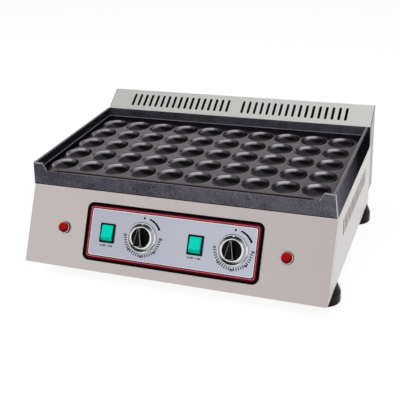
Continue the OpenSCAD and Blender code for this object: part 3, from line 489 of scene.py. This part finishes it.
def fullCircle(sides):  # radians
    return np.linspace(0, 2 * math.pi, sides, endpoint=False)


def radial(radius, angle):
    # a point at a distance from the middle, at an angle clockwise from the top
    return np.stack([radius * np.sin(angle), radius * np.cos(angle)], -1)


def weld(surfaces, grain=1e-6):
    # joins points that lie within a grain of each other, and turns quads that collapse into triangles
    groups = [np.reshape(points, (-1, 3)) for points, _ in surfaces]
    starts = np.cumsum([0] + [len(group) for group in groups])
    points = np.concatenate(groups)
    _, first, places = np.unique(np.round(points / grain).astype(np.int64), axis=0, return_index=True,
                                 return_inverse=True)
    places = places.reshape(-1)
    faces = []
    for (_, corners), start in zip(surfaces, starts):
        for face in corners:
            ring = places[np.asarray(face) + start]
            ring = ring[ring != np.roll(ring, 1)]
            if len(ring) > 2:
                faces.append(ring.tolist())
    return points[first], faces


def addMesh(name, mesh, finish, body, slot, stands=(), sharp=35):  # degrees from which edges look sharp
    mesh.polygons.foreach_set("use_smooth", np.ones(len(mesh.polygons), bool))
    mesh.set_sharp_from_angle(angle=math.radians(sharp))
    mesh.materials.clear()
    mesh.materials.append(finish)
    piece = bpy.data.objects.new(name, mesh)
    scene.collection.objects.link(piece)
    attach(piece, body)
    if stands:
        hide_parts(*stands)
    return piece


def addPiece(name, points, faces, *how):
    mesh = bpy.data.meshes.new(name)
    mesh.from_pydata(points.tolist(), [], faces)
    bm = bmesh.new()
    bm.from_mesh(mesh)
    bmesh.ops.recalc_face_normals(bm, faces=bm.faces)
    bm.to_mesh(mesh)
    bm.free()
    addMesh(name, mesh, *how)


def softCopy(name, edge, steps, sharpest, heart=None):
    # a frame part with its flat triangles joined and its sharp edges rounded; faces towards the heart
    # count as inner, and their finish paints shade on them
    bm = bmesh.new()
    bm.from_mesh(nodes[name].data)
    bmesh.ops.remove_doubles(bm, verts=bm.verts, dist=1e-6)
    bmesh.ops.dissolve_limit(bm, angle_limit=math.radians(0.5), verts=bm.verts, edges=bm.edges)
    limit = math.radians(sharpest)
    edges = [e for e in bm.edges if e.is_manifold and e.calc_face_angle() > limit]
    bmesh.ops.bevel(bm, geom=edges, offset=edge * mm, offset_type="OFFSET", segments=steps, profile=0.5,
                    affect="EDGES", clamp_overlap=False)
    mesh = bpy.data.meshes.new(name + "_soft")
    bm.to_mesh(mesh)
    bm.free()
    piece = addMesh(name + "_soft", mesh, finishOf[name], nodes[name]["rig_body"], slotOf[name], (name,), 50)
    normals = piece.modifiers.new("flatFaces", "WEIGHTED_NORMAL")  # flats stay flat, their edges shade round
    normals.mode, normals.weight, normals.keep_sharp = "FACE_AREA", 100, True
    # faces that look towards the heart are marked for painted shade
    if heart:
        count = len(mesh.polygons)
        ways, middles = np.empty(count * 3), np.empty(count * 3)
        mesh.polygons.foreach_get("normal", ways)
        mesh.polygons.foreach_get("center", middles)
        facing = np.sum(ways.reshape(-1, 3) * (np.array(heart) - middles.reshape(-1, 3)), axis=1)
        mesh.attributes.new("inner", "FLOAT", "FACE").data.foreach_set("value", (facing > 0).astype(float))


def turned(profile, sides):
    # a profile of (radius, height) points turned about the Z axis
    return tube([atHeight(radial(radius, fullCircle(sides)), height) for radius, height in profile])


def rounded(corners, radius, steps=4):
    # an open outline with each inner corner replaced by a parabola that starts where an arc of that radius
    # would, or just before the middle of a short side
    corners = np.asarray(corners, float)
    made = [corners[:1]]
    for before, corner, after in zip(corners[:-2], corners[1:-1], corners[2:]):
        back, forth = before - corner, after - corner
        room = min(np.linalg.norm(back), np.linalg.norm(forth)) * 0.49
        back, forth = back / np.linalg.norm(back), forth / np.linalg.norm(forth)
        half = math.acos(float(np.clip(back @ forth, -1, 1))) / 2
        reach = min(radius / math.tan(half), room)
        share = np.linspace(0, 1, steps + 1)[:, None]
        start, end = corner + back * reach, corner + forth * reach
        made.append((1 - share) ** 2 * start + 2 * share * (1 - share) * corner + share ** 2 * end)
    made.append(corners[-1:])
    return np.concatenate(made)


def sideWalls(loops, low, high):
    return [tube([atHeight(loop, height) for height in (low, high)]) for loop in loops]


def prisms(outlines, low, high):
    # flat shapes given by their outlines, each raised from one height to another
    caps = [(atHeight(outline, height), [np.arange(len(outline))]) for outline in outlines
            for height in (low, high)]
    return caps + sideWalls(outlines, low, high)


def holedSheet(loops, low, high):
    # a flat sheet between two heights: the first loop is its outline and the others are its holes, all
    # convex; triangles with all their corners on one hole's loop fill that hole, so they are left out
    sizes = [len(loop) for loop in loops]
    here = np.arange(sum(sizes))
    owner = np.repeat(np.arange(len(loops)), sizes)
    after = np.concatenate([np.roll(part, -1) for part in np.split(here, np.cumsum(sizes)[:-1])])
    flat = [Vector(point) for point in np.concatenate(loops).tolist()]
    made, _, faces, origins, *_ = delaunay_2d_cdt(flat, np.column_stack([here, after]).tolist(), [], 1, 1e-6)
    owner = owner[[origin[0] for origin in origins]]
    faces = [face for face in faces if owner[face[0]] == 0 or len(set(owner[face])) > 1]
    plan = np.array([tuple(point) for point in made])
    return [(atHeight(plan, height), faces) for height in (low, high)] + sideWalls(loops, low, high)


# The leaning panel's own frame: X across, Y up the slope, Z out of its face

turn = {joint["name"]: joint for joint in frame["joints"]}
knobTurn = turn["left_knob_turn"]
panelOut = -np.array(knobTurn["axis"])
panelUp = np.cross(panelOut, (1.0, 0.0, 0.0))
panelOrigin = np.array((0.0, *knobTurn["pos_m"][1:]))
zones = {side: turn[side + "_knob_turn"]["pos_m"][0] / mm for side in ("left", "right")}
switches = {side: turn[side + "_rocker_tilt"]["pos_m"][0] / mm for side in zones}


def onPanel(points, x):
    # millimetres in the panel's frame to metres in the shared frame
    points = np.asarray(points, float)
    across = np.array((1.0, 0.0, 0.0))
    return panelOrigin + mm * ((points[..., :1] + x) * across + points[..., 1:2] * panelUp
                               + points[..., 2:] * panelOut)


def panelPiece(name, surfaces, x, finish, *how):
    points, faces = weld([(onPanel(p, x), f) for p, f in surfaces])
    addPiece(name, points, faces, finishes[finish], *how)


# Griddle plate

def cupProfile():
    # radius and depth of a cup: part of a sphere, then an arc that meets the sphere and the deck smoothly
    half, deep, edge = plate["cupWide"] / 2, plate["cupDeep"], plate["cupEdge"]
    sphere = (half ** 2 + deep ** 2) / (2 * deep)
    above = sphere - deep
    arcRadius = math.sqrt((sphere + edge) ** 2 - (above + edge) ** 2)
    meet = math.atan2(arcRadius, above + edge)
    swing = np.linspace(0, meet, plate["bowlSteps"])
    bowl = np.column_stack([sphere * np.sin(swing), above - sphere * np.cos(swing)])
    back = np.linspace(meet, 0, plate["edgeSteps"] + 1)[1:]
    arc = np.column_stack([arcRadius - edge * np.sin(back), edge * np.cos(back) - edge])
    return np.concatenate([bowl, arc])


def cupCells():
    # each cup is rings about its middle, and its last ring runs out to the square cell round it
    steps, pitch = plate["sideSteps"], plate["pitch"]
    run = np.linspace(-1, 1, steps, endpoint=False)
    one = np.ones(steps)
    square = np.concatenate([np.column_stack(side) for side in (
        (run, -one), (one, run), (-run, one), (-one, -run))])
    ways = square / np.linalg.norm(square, axis=1, keepdims=True)
    profile = cupProfile()
    rings = np.concatenate([profile[:, None, :1] * ways, square[None] * pitch / 2])
    heights = np.append(profile[:, 1], 0.0)[:, None, None] + plate["deck"] + 0 * rings[..., :1]
    cell = np.concatenate([rings, heights], -1)
    column = (np.arange(plate["columns"]) - (plate["columns"] - 1) / 2) * pitch
    row = plate["front"] + np.arange(plate["rows"]) * pitch
    shifts = np.stack(np.meshgrid(column, row, [0.0], indexing="ij"), -1).reshape(-1, 3)
    faces = gridFaces(len(rings), len(square))
    return [(cell + shift, faces) for shift in shifts]


def wallProfile(high):
    # distance out from the rim's inner face, and height: foot fillet, rim with two rounded edges, underside
    deck, foot, edge, rim = plate["deck"], plate["wallFoot"], plate["rimRound"], plate["rim"]
    outer, under = rim + plate["draft"], plate["bottomEdge"]
    skirtIn = outer - plate["skirt"]
    sine, cosine = np.sin(quarter), np.cos(quarter)
    return np.concatenate([
        [[0, deck]],
        np.column_stack([foot * sine - foot, deck + foot - foot * cosine]),
        np.column_stack([edge - edge * cosine, high - edge + edge * sine]),
        np.column_stack([rim - edge + edge * sine, high - edge + edge * cosine]),
        [[outer, under], [outer - under, 0], [skirtIn, 0], [skirtIn, plate["pocket"]]],
    ])


def lipProfile():
    # distance from the front face, height with the groove, height without it: one point for each of the
    # wall's, with tenths of a millimetre off the groove's and the lip's edges
    deck, lip, skirt, pocket = plate["deck"], plate["lip"], plate["skirt"], plate["pocket"]
    top, edge, under = deck + plate["lipHigh"], plate["lipRound"], plate["bottomEdge"]
    rear, floor = lip + plate["groove"], deck - plate["grooveDeep"]
    front = top - edge + edge * np.cos(quarter)
    return np.concatenate([
        [[0, deck, deck]],
        [[rear + 0.5, deck, deck], [rear + 0.1, deck - 0.1, deck], [rear, deck - 0.5, deck],
         [rear - 0.1, floor + 0.3, deck], [rear - 0.4, floor, deck], [lip + 0.4, floor, deck]],
        [[lip + 0.1, floor + 0.3, deck], [lip, deck - 0.1, deck], [lip, top - 0.3, top - 0.3],
         [lip - 0.1, top - 0.1, top - 0.1], [lip - 0.3, top, top], [lip / 2, top, top]],
        np.column_stack([edge - edge * np.sin(quarter), front, front]),
        [[0, under, under], [under, 0, 0], [skirt, 0, 0], [skirt, pocket, pocket]],
    ])


def packed(count, spots, samples=8001):
    # shares from -1 to 1 that lie closer together near the given spots (place, spread, weight), on both sides
    fine = np.linspace(-1, 1, samples)
    bells = [weight * np.exp(-((np.abs(fine) - place) / spread) ** 2) for place, spread, weight in spots]
    dense = 1 + sum(bells)
    total = np.concatenate([[0], np.cumsum((dense[1:] + dense[:-1]) / 2)])
    return np.interp(np.linspace(0, total[-1], count + 1), total, fine)[:-1]


def roundPlan(ring, halfX, middle, halfY, radius):
    # moves points within a radius of a rectangle's corners onto the corner's quarter circle
    x, y = ring[..., 0], ring[..., 1] - middle
    fromX, fromY = halfX - np.abs(x), halfY - np.abs(y)
    flat = fromY < fromX
    near = np.where(flat, fromX, fromY)
    share = np.clip(near / radius, 0, 1) * math.pi / 4
    angle = math.pi / 4 + np.where(flat, share, -share)
    newX = np.sign(x) * (halfX - radius + radius * np.cos(angle))
    newY = np.sign(y) * (halfY - radius + radius * np.sin(angle)) + middle
    onArc = np.stack([newX, newY, ring[..., 2]], -1)
    return np.where((near < radius)[..., None], onArc, ring)


def plateBorder(half, deep, high):
    # nested rectangles from the cups' block out over the rim and down to the underside; along the front they
    # go over from the raised corners' section to the lip's
    out, wall = wallProfile(high).T
    lipY, lipZ, plainZ = lipProfile().T
    blockFront = plate["front"] - plate["pitch"] / 2
    innerX, innerRear = (size - plate["draft"] - plate["rim"] for size in (half, deep))
    sideX, rearY = innerX + out, innerRear + out
    frontY = plate["lip"] - np.minimum(out, plate["rim"])
    sideX[0] = plate["columns"] * plate["pitch"] / 2
    rearY[0] = blockFront + plate["rows"] * plate["pitch"]
    frontY[0] = lipY[0] = blockFront
    frontY[-3:] = lipY[-3:]
    wingIn = half - plate["draft"] - plate["wing"] - plate["wingSlope"]
    grooveX = half - plate["grooveEnd"]
    first = np.arange(len(out))[:, None] == 0

    def shares(count, length, **places):  # even along the cups' block, closer together at the spots elsewhere
        count *= plate["sideSteps"]
        spots = [(place / length, plate["dense"][key][0] / length, plate["dense"][key][1])
                 for key, place in places.items()]
        return np.where(first, np.linspace(-1, 1, count, endpoint=False), packed(count, spots))

    fronts = shares(plate["columns"], innerX, corner=innerX, wing=wingIn + plate["wingSlope"] / 2,
                    groove=grooveX)
    rears = shares(plate["columns"], innerX, corner=innerX)
    sides = shares(plate["rows"], deep, side=deep)
    sideX, rearY, frontY, wall = (row[:, None] for row in (sideX, rearY, frontY, wall))
    frontX = sideX * fronts
    climb = np.clip((np.abs(frontX) - wingIn) / plate["wingSlope"], 0, 1)
    dip = np.clip((grooveX - np.abs(frontX)) / plate["grooveRun"], 0, 1)
    lowZ = plainZ[:, None] + dip * (lipZ - plainZ)[:, None]
    lowY = lipY[:, None]
    front = np.stack([frontX, lowY + climb * (frontY - lowY), lowZ + climb * (wall - lowZ)], -1)
    middle, halfY = (rearY + frontY) / 2, (rearY - frontY) / 2
    others = [(sideX, middle + halfY * sides, wall), (-sideX * rears, rearY, wall),
              (-sideX, middle - halfY * sides, wall)]
    others = [np.stack(np.broadcast_arrays(*side), -1) for side in others]
    ring = np.concatenate([front, *others], 1)
    inside = 1 + 2 * plate["arcSteps"]  # levels up to the rim's inner edge
    radius = np.where(np.arange(len(out)) < inside, plate["cornerIn"], plate["cornerOut"])
    radius[0] = 1e-6
    ring = roundPlan(ring, sideX, middle, halfY, radius[:, None])
    count = ring.shape[1]
    cap = np.arange((len(out) - 1) * count, len(out) * count)
    return [(ring, [*gridFaces(len(out), count), cap])]


def makePlate():
    low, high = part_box("griddle_plate")
    half, deep, tall = high.x / mm, (high.y - low.y) / mm, (high.z - low.z) / mm
    corner = np.array((0.0, low.y, low.z))
    surfaces = cupCells() + plateBorder(half, deep, tall)
    points, faces = weld([(p * mm + corner, f) for p, f in surfaces])
    addPiece("griddleCasting", points, faces, finishes["cast"], "machine", "coated_plate", ("griddle_plate",),
             40)


makePlate()
print("plate: made")


# Sheets with rounded edges

soft = {  # mm of rounding, steps across it, degrees from which an edge is rounded
    "sheet": (0.3, 2, 30), "switch": (0.5, 3, 30), "foot": (0.8, 3, 20),
}
hearts = {"body": (0, 0, 0.105), "hood": (0, 0.21, 0.19)}  # metres; faces that look towards these points get painted shade
for nodeName in ("front_panel", *pairs("side_panel"), "rear_panel"):
    softCopy(nodeName, *soft["sheet"], hearts["body"])
for nodeName in ("hood_shell", *pairs("hood_end")):
    softCopy(nodeName, *soft["sheet"], hearts["hood"])
for nodeName in pairs("switch", "rocker"):
    softCopy(nodeName, *soft["switch"])
for nodeName in nodeFinish["rubber"]:
    softCopy(nodeName, *soft["foot"])
print("sheets: edges rounded")


# Fascia print and its bead

fasciaPrint = {
    "wide": 350.0, "high": 111.0, "corner": 13.0, "cornerIn": 4.5, "thick": 0.8, "inset": 0.2,  # mm
    "bead": 5.0, "beadHigh": 3.2, "beadPower": 0.5, "beadSteps": 9,
    "red": 6.2, "redLine": (2.9, 4.3), "white": 1.2, "ink": 0.12,
    "switchHole": (27.5, 34.5), "bushHole": 5.25, "bushSides": 48,
}


def roundedLoop(inset, steps=10):
    # one turn round the fascia at a distance inside its edge
    wide, high = fasciaPrint["wide"] / 2 - inset, fasciaPrint["high"] / 2 - inset
    radius = max(fasciaPrint["corner"] - inset, fasciaPrint["cornerIn"])
    angle = np.radians(np.linspace(0, 90, steps)[None] + np.array([[0], [90], [180], [270]]))
    signX, signY = np.array([[1], [-1], [-1], [1]]), np.array([[1], [1], [-1], [-1]])
    x = signX * (wide - radius) + radius * np.cos(angle)
    y = signY * (high - radius) + radius * np.sin(angle)
    return np.column_stack([x.ravel(), y.ravel()])


def frameRing(profile):
    # a profile of (distance inside the edge, height), closed and carried round the fascia
    return [tube([atHeight(roundedLoop(inset), height) for inset, height in [*profile, profile[0]]])]


def makeFascia():
    top, bead, ink = fasciaPrint["thick"], fasciaPrint["bead"], fasciaPrint["ink"]
    square = np.array([(-1, -1), (1, -1), (1, 1), (-1, 1)]) * np.array(fasciaPrint["switchHole"]) / 2
    circle = radial(fasciaPrint["bushHole"], fullCircle(fasciaPrint["bushSides"]))
    holes = [square + (x, 0) for x in switches.values()] + [circle + (x, 0) for x in zones.values()]
    sheet = holedSheet([roundedLoop(fasciaPrint["inset"])] + holes, 0, top)
    panelPiece("fasciaSheet", sheet, 0, "fascia", "machine", slotOf["control_fascia"], ("control_fascia",))
    hump = [(bead / 2 - bead / 2 * math.cos(a),
             top + fasciaPrint["beadHigh"] * math.sin(a) ** fasciaPrint["beadPower"])
            for a in np.linspace(0, math.pi, fasciaPrint["beadSteps"])]
    hump = frameRing([(0, 0)] + hump + [(bead, 0)])
    panelPiece("fasciaBead", hump, 0, "inkBlack", "machine", "black_plastic")
    redEnd = bead + fasciaPrint["red"]
    line = bead + np.array(fasciaPrint["redLine"])
    white = (redEnd, redEnd + fasciaPrint["white"])
    for name, (start, end), low, finish in (("fasciaRed", (bead, redEnd), top, "inkRed"),
                                            ("fasciaRedLine", line, top + ink, "inkPink"),
                                            ("fasciaWhite", white, top, "inkWhite")):
        band = frameRing([(start, low), (start, low + ink), (end, low + ink), (end, low)])
        panelPiece(name, band, 0, finish, "machine", "fascia_print")


makeFascia()

dial = {
    "shift": (1.0, 1.2), "dot": (35.6, 2.1), "dotSides": 20,  # mm
    "arc": (36.2, 3.0, 4.0), "arcSwing": (16.5, 63.0), "arcSteps": 17,  # mm, degrees clockwise from the top
    "tickIn": 32.0, "tickOut": 37.8, "tickWide": 1.6, "tickStep": 7.5,
    "numbers": {"50": 90.0, "40": 135.0, "30": 180.0, "20": 225.0, "10": 270.0},
    "clear": 7.0, "numberAt": 36.4, "numberHigh": 4.4, "numberBold": 0.3,
    "caption": "0 OFF - 1 ON", "captionDown": 24.0, "captionHigh": 3.1, "captionBold": 0.22,
    "capital": 0.7,  # a capital's share of the lettering's size
}


def wordsMesh(words, high, bold, x, y):
    # lettering as a mesh in the panel's frame
    low, thick = fasciaPrint["thick"], fasciaPrint["ink"]
    curve = bpy.data.curves.new("words", "FONT")
    curve.body, curve.size = words, high / dial["capital"]
    curve.align_x, curve.align_y = "CENTER", "CENTER"
    curve.extrude, curve.resolution_u, curve.offset = thick / 2, 3, bold
    holder = bpy.data.objects.new("words", curve)
    scene.collection.objects.link(holder)
    bpy.context.view_layer.update()
    mesh = bpy.data.meshes.new_from_object(holder.evaluated_get(bpy.context.evaluated_depsgraph_get()))
    points = np.empty(len(mesh.vertices) * 3)
    mesh.vertices.foreach_get("co", points)
    faces = [np.array(face.vertices) for face in mesh.polygons]
    bpy.data.objects.remove(holder)
    bpy.data.meshes.remove(mesh)
    return points.reshape(-1, 3) + (x, y, low + thick / 2), faces


def makeDial(side):
    # ticks between the numbers, an arc that thickens and a dot, then the numbers and the switch's caption
    top, shift = fasciaPrint["thick"], np.array(dial["shift"])
    labels = np.radians(list(dial["numbers"].values()))
    ticks = np.radians(np.arange(dial["numbers"]["50"], dial["numbers"]["10"], dial["tickStep"]))
    ways = np.array([dial["tickIn"], dial["tickOut"]])
    lean = dial["tickWide"] / 2 / dial["tickIn"]
    outlines = [np.concatenate([radial(ways, angle - lean), radial(ways[::-1], angle + lean)])
                for angle in ticks if np.min(np.abs(labels - angle)) >= math.radians(dial["clear"])]
    reach, thin, thick = dial["arc"]
    swing = np.radians(np.linspace(*dial["arcSwing"], dial["arcSteps"]))
    half = np.linspace(thin, thick, dial["arcSteps"]) / 2
    outlines.append(np.concatenate([radial(reach + half, swing), radial(reach - half, swing)[::-1]]))
    dotAt, dotSize = dial["dot"]
    outlines.append(radial(dotSize, fullCircle(dial["dotSides"])) + (0, dotAt))
    prints = prisms([outline + shift for outline in outlines], top, top + fasciaPrint["ink"])
    places = radial(dial["numberAt"], labels) + shift
    words = [wordsMesh(text, dial["numberHigh"], dial["numberBold"], *place)
             for text, place in zip(dial["numbers"], places)]
    caption = wordsMesh(dial["caption"], dial["captionHigh"], dial["captionBold"], 0, -dial["captionDown"])
    for name, surfaces, x in (("DialMarks", prints, zones[side]), ("DialNumbers", words, zones[side]),
                              ("SwitchCaption", [caption], switches[side])):
        panelPiece(side + name, surfaces, x, "inkBlack", "machine", "fascia_print")


for zoneSide in zones:
    makeDial(zoneSide)
print("fascia: printed")


# Knobs

knob = {
    "sides": 96, "base": 1.4, "skirt": 26.3, "skirtHigh": 3.6, "disc": 18.6, "discHigh": 3.0,  # mm
    "hollow": 10.0, "hollowHigh": 4.2, "edge": 0.5, "gap": 0.05,
    "ringOut": 28.9, "ringIn": 22.1, "ringHigh": 0.8, "ringEdge": 0.4, "bevelIn": 1.2, "bevelDown": 0.6,
    "coneHigh": 2.3, "coneEdge": 0.1,
    "gripHigh": 14.0, "gripTip": 4.2, "gripTail": 20.0, "gripIn": 0.5, "gripDraft": 1.0, "gripEdge": 1.2,
    "gripPower": 16.0,  # how sharply the wedge goes over into the circle
    "highlightArc": (15, 35, 55, 75),  # a painted highlight strip spans these degrees round the grip's top edge
    "pointer": ((21.7, 3.0), (27.3, 0.3)), "pointerHigh": 1.2,  # distance and half width at each end
}


def gripOutline(inset):
    # a wedge that narrows towards the pointer, inside a circle: the smaller of the two distances, blended
    circle = knob["disc"] - knob["gripIn"] - inset
    middle = (knob["gripTail"] + knob["gripTip"]) / 4
    slope = (knob["gripTail"] - knob["gripTip"]) / 4 / knob["disc"]
    angle = fullCircle(knob["sides"])
    spread = np.maximum(np.abs(np.sin(angle)) + slope * np.cos(angle), 1e-3)
    wedge = (middle - inset) / spread
    power = knob["gripPower"]
    return radial((circle ** -power + wedge ** -power) ** (-1 / power), angle)


def gripLayers(arc, high, gap=0.0):
    # the grip's outline at angles round its rounded top edge, a gap outside it
    edge = knob["gripEdge"]
    insets = knob["gripDraft"] + edge - (edge + gap) * np.cos(arc)
    heights = high - edge + (edge + gap) * np.sin(arc)
    return [atHeight(gripOutline(inset), height) for inset, height in zip(insets, heights)]


def gripSurface(low, high):
    # outlines stacked from the disc to the top, drawing in a little, then over a rounded edge to the middle
    layers = [atHeight(gripOutline(0.0), low)] + gripLayers(quarter, high)
    return tube([layers[0] * (0, 0, 1), *layers, layers[-1] * (0, 0, 1)])


def makeKnob(side):
    # stepped skirt and disc, two rings with a cone between them, the grip with a thin painted highlight strip
    # on its rounded top edge, and a pointer
    base, edge, gap, sides = (knob[key] for key in ("base", "edge", "gap", "sides"))
    skirt, disc, ringOut, ringIn = (knob[key] for key in ("skirt", "disc", "ringOut", "ringIn"))
    hollow, hollowTop = knob["hollow"], base + knob["hollowHigh"]
    skirtTop = base + knob["skirtHigh"]
    discTop = skirtTop + knob["discHigh"]
    gripTop = discTop + knob["gripHigh"]
    profile = rounded([(0, hollowTop), (hollow, hollowTop), (hollow, base), (skirt, base), (skirt, skirtTop),
                       (disc, skirtTop), (disc, discTop), (0, discTop)], edge)
    rim, inside, outside = skirtTop + knob["ringHigh"], disc + gap, skirt + gap
    cone = skirtTop + knob["coneHigh"]
    innerTop = cone + knob["ringHigh"]
    outer = rounded([(outside, base), (ringOut, base), (ringOut, skirtTop - knob["bevelDown"]),
                     (skirt + knob["bevelIn"], rim), (outside, rim), (outside, base)], knob["ringEdge"])
    inner = rounded([(inside, skirtTop), (ringIn, skirtTop), (ringIn, cone), ((disc + ringIn) / 2, innerTop),
                     (inside, innerTop), (inside, skirtTop)], knob["ringEdge"])
    slope = rounded([(ringIn + gap, skirtTop), (skirt, skirtTop), (skirt, skirtTop + 2 * gap),
                     (ringIn + gap, cone - 2 * gap), (ringIn + gap, skirtTop)], knob["coneEdge"])
    highlightStrip = tube(gripLayers(np.radians(knob["highlightArc"]), gripTop, gap))
    (near, half), (far, tip) = knob["pointer"]
    pointer = prisms([[(-half, near), (half, near), (tip, far), (-tip, far)]], skirtTop,
                     skirtTop + knob["pointerHigh"])
    body, x = side + "_knob", zones[side]
    panelPiece(side + "KnobGrip", [turned(profile, sides), gripSurface(discTop - edge, gripTop)], x,
               "knobBlack", body, "knob_black", (side + "_knob",))
    panelPiece(side + "KnobRings", [turned(outer, sides), turned(inner, sides)], x, "chrome", body,
               "knob_chrome", (side + "_knob_rings",))
    panelPiece(side + "KnobSlope", [turned(slope, sides)], x, "smoky", body, "knob_chrome")
    # painted highlight: a grey strip along the grip's rounded top edge
    panelPiece(side + "KnobGripHighlight", [highlightStrip], x, "gripHighlightGrey", body, "knob_black")
    panelPiece(side + "KnobPointer", pointer, x, "inkWhite", body, "knob_chrome")


for zoneSide in zones:
    makeKnob(zoneSide)
print("knobs: made")


# Signal lamps

lamp = {
    "place": 221.0, "sides": 64, "flange": 12.0, "flangeThick": 2.5, "flangeEdge": 0.6,  # mm
    "barrel": 6.0, "barrelLong": 20.0,
    "bezel": 11.3, "bezelThick": 2.0, "bezelEdge": 0.5, "gap": 0.15,
    "lens": 9.7, "lensHigh": 8.5, "lensTop": 6.4, "lensSlope": 2.6, "lensDish": 0.6, "lensEdge": 0.4,
    "facets": 8,
}


def makeLamp(side, sign):
    # a base turned with its flange, a ring round the lens, and a lens turned with few sides
    top, sides, x = lamp["flangeThick"], lamp["sides"], sign * lamp["place"]
    barrel, end, flange = lamp["barrel"], -lamp["barrelLong"], lamp["flange"]
    base = rounded([(0, end), (barrel, end), (barrel, 0), (flange, 0), (flange, top), (0, top)],
                   lamp["flangeEdge"])
    hole, bezel, rise = lamp["lens"] + lamp["gap"], lamp["bezel"], top + lamp["bezelThick"]
    ring = rounded([(hole, top), (bezel, top), (bezel, rise), (hole, rise), (hole, top)], lamp["bezelEdge"])
    lensTop = top + lamp["lensHigh"]
    lens = rounded([(0, top), (lamp["lens"], top), (lamp["lens"], lensTop - lamp["lensSlope"]),
                    (lamp["lensTop"], lensTop), (0, lensTop - lamp["lensDish"])], lamp["lensEdge"], 2)
    for name, solid, finish, slot, node, sharp in (
            ("LampBase", turned(base, sides), "blackPlastic", "black_plastic", "_lamp_base", 35),
            ("LampBezel", turned(ring, sides), "lampTrim", "lamp_chrome", "_lamp_bezel", 35),
            ("LampLens", turned(lens, lamp["facets"]), "red", "lens_red", "_lamp_lens", 20)):
        panelPiece(side + name, [solid], x, finish, "machine", slot, (side + node,), sharp)


for lampSide, lampSign in (("left", -1), ("right", 1)):
    makeLamp(lampSide, lampSign)
print("lamps: made")


# Floor, light and background

studio = {
    "floorSize": 14.0, "floorColour": (0.86, 0.86, 0.85), "white": 0.75, "glow": 1.17,
    "darkStrip": (-0.37, 0.09), "dark": 0.04,  # in mirrors, the floor before the machine: middle and half
    "sky": 0.33,
    # in mirrors the room's brightness goes by the slope that shows it: the normal halfway between the ray
    # and "eye". A pair is where a soft step in it starts and ends, and the number after it what that leaves
    "eye": (0.331, -0.819, 0.469), "steep": (0.52, 0.60), "level": 0.85,
    "facing": (0.16, 0.46), "facingAt": -15.0, "faced": 0.08,  # degrees to the right of the front
    "leftward": (0.05, 0.50), "shaded": 0.28,
    "sloped": (0.95, 0.997), "slopes": 0.55,
    "rightward": (0.56, 0.72), "edged": 0.05,
    "bandLow": (0.53, 0.58), "bandHigh": (0.64, 0.78), "bandSide": (0.35, 1.0), "bandAt": 14.0,  # stays white
    "lightSize": (1.72, 0.70), "lightAim": (0, 0, 0.2),
    "lights": {  # place, power
        "left": ((-1.62, -0.59, 1.87), 18.0),
        "middle": ((0.0, -1.73, 1.87), 19.0),
        "right": ((1.62, -0.59, 1.87), 9.0),
    },
}


def rays(tool, kind):
    return tool.node("LightPath", out="Is " + kind + " Ray")


def seenDirectly(tool):
    # 1 for rays from the camera, mirrors and glass, 0 for the rest
    return rays(tool, "Camera") | rays(tool, "Glossy") | rays(tool, "Transmission")


def makeRoom():
    # white for the camera, dim for the light that falls on the object, and shaded by slope in mirrors
    world = bpy.data.worlds.new("studio")
    world.use_nodes = True
    world.node_tree.nodes.clear()
    tool = Wire(world.node_tree)
    way = tool.node("TexCoord", out="Generated")
    way = tool.node("VectorMath", {"operation": "ADD"}, {0: way, 1: studio["eye"]})
    slope = tool.node("VectorMath", {"operation": "NORMALIZE"}, {0: way})
    x, y, z = (slope.part(axis) for axis in "XYZ")

    def step(value, key):
        return value.ramp(*studio[key], kind="SMOOTHSTEP")

    def towards(key):
        angle = math.radians(studio[key])
        return x * math.sin(angle) - y * math.cos(angle)

    def leaves(value, key, rest):
        return 1 - step(value, key) * (1 - studio[rest])

    level = (x * x + y * y) ** 0.5 | 0.001
    band = step(z, "bandLow") * (1 - step(z, "bandHigh")) * step(towards("bandAt") / level, "bandSide")
    faced = leaves(towards("facingAt"), "facing", "faced")
    shaded = leaves(0 - x, "leftward", "shaded")
    edged = leaves(x, "rightward", "edged")
    sloped = studio["slopes"] + step(z, "sloped") * (1 - studio["slopes"])
    dimmed = (faced & shaded & sloped) * studio["level"]
    room = step(z, "steep") * ((dimmed | band) * edged - 1)
    strength = studio["sky"] + seenDirectly(tool) * (1 + rays(tool, "Glossy") * room - studio["sky"])
    sky = tool.node("Background", {}, {"Color": shade((1, 1, 1)), "Strength": strength})
    tool.node("OutputWorld", {}, {"Surface": sky})
    scene.world = world


def makeFloor():
    # matt, and lit from itself where it is seen, with a dark strip in mirrors
    finish, tool = newFinish("studioFloor")
    mirrored = rays(tool, "Glossy") * tool.coord("Y").near(*studio["darkStrip"])
    white = seenDirectly(tool) * studio["white"] | mirrored
    matt = tool.node("BsdfDiffuse", {}, {"Color": shade(studio["floorColour"])})
    glow, gone = (tool.node("Emission", {}, {"Color": shade((1, 1, 1)), "Strength": studio[key]})
                  for key in ("glow", "dark"))
    seen = tool.node("MixShader", {}, {0: mirrored, 1: glow, 2: gone})
    both = tool.node("MixShader", {}, {0: white, 1: matt, 2: seen})
    tool.node("OutputMaterial", {}, {"Surface": both})
    half = studio["floorSize"] / 2
    corners = [(-half, -half, 0), (half, -half, 0), (half, half, 0), (-half, half, 0)]
    mesh = bpy.data.meshes.new("floor")
    mesh.from_pydata(corners, [], [(0, 1, 2, 3)])
    mesh.materials.append(finish)
    floor = bpy.data.objects.new("floor", mesh)
    scene.collection.objects.link(floor)


def makeLights():
    aim = Vector(studio["lightAim"])
    for name, (place, power) in studio["lights"].items():
        light = bpy.data.lights.new(name, "AREA")
        light.shape = "RECTANGLE"
        light.size, light.size_y = studio["lightSize"]
        light.energy = power
        holder = bpy.data.objects.new(name, light)
        holder.location = place
        holder.visible_glossy = False
        holder.rotation_euler = (aim - Vector(place)).to_track_quat("-Z", "Y").to_euler()
        scene.collection.objects.link(holder)


makeRoom()
makeFloor()
makeLights()
print("studio: lit")
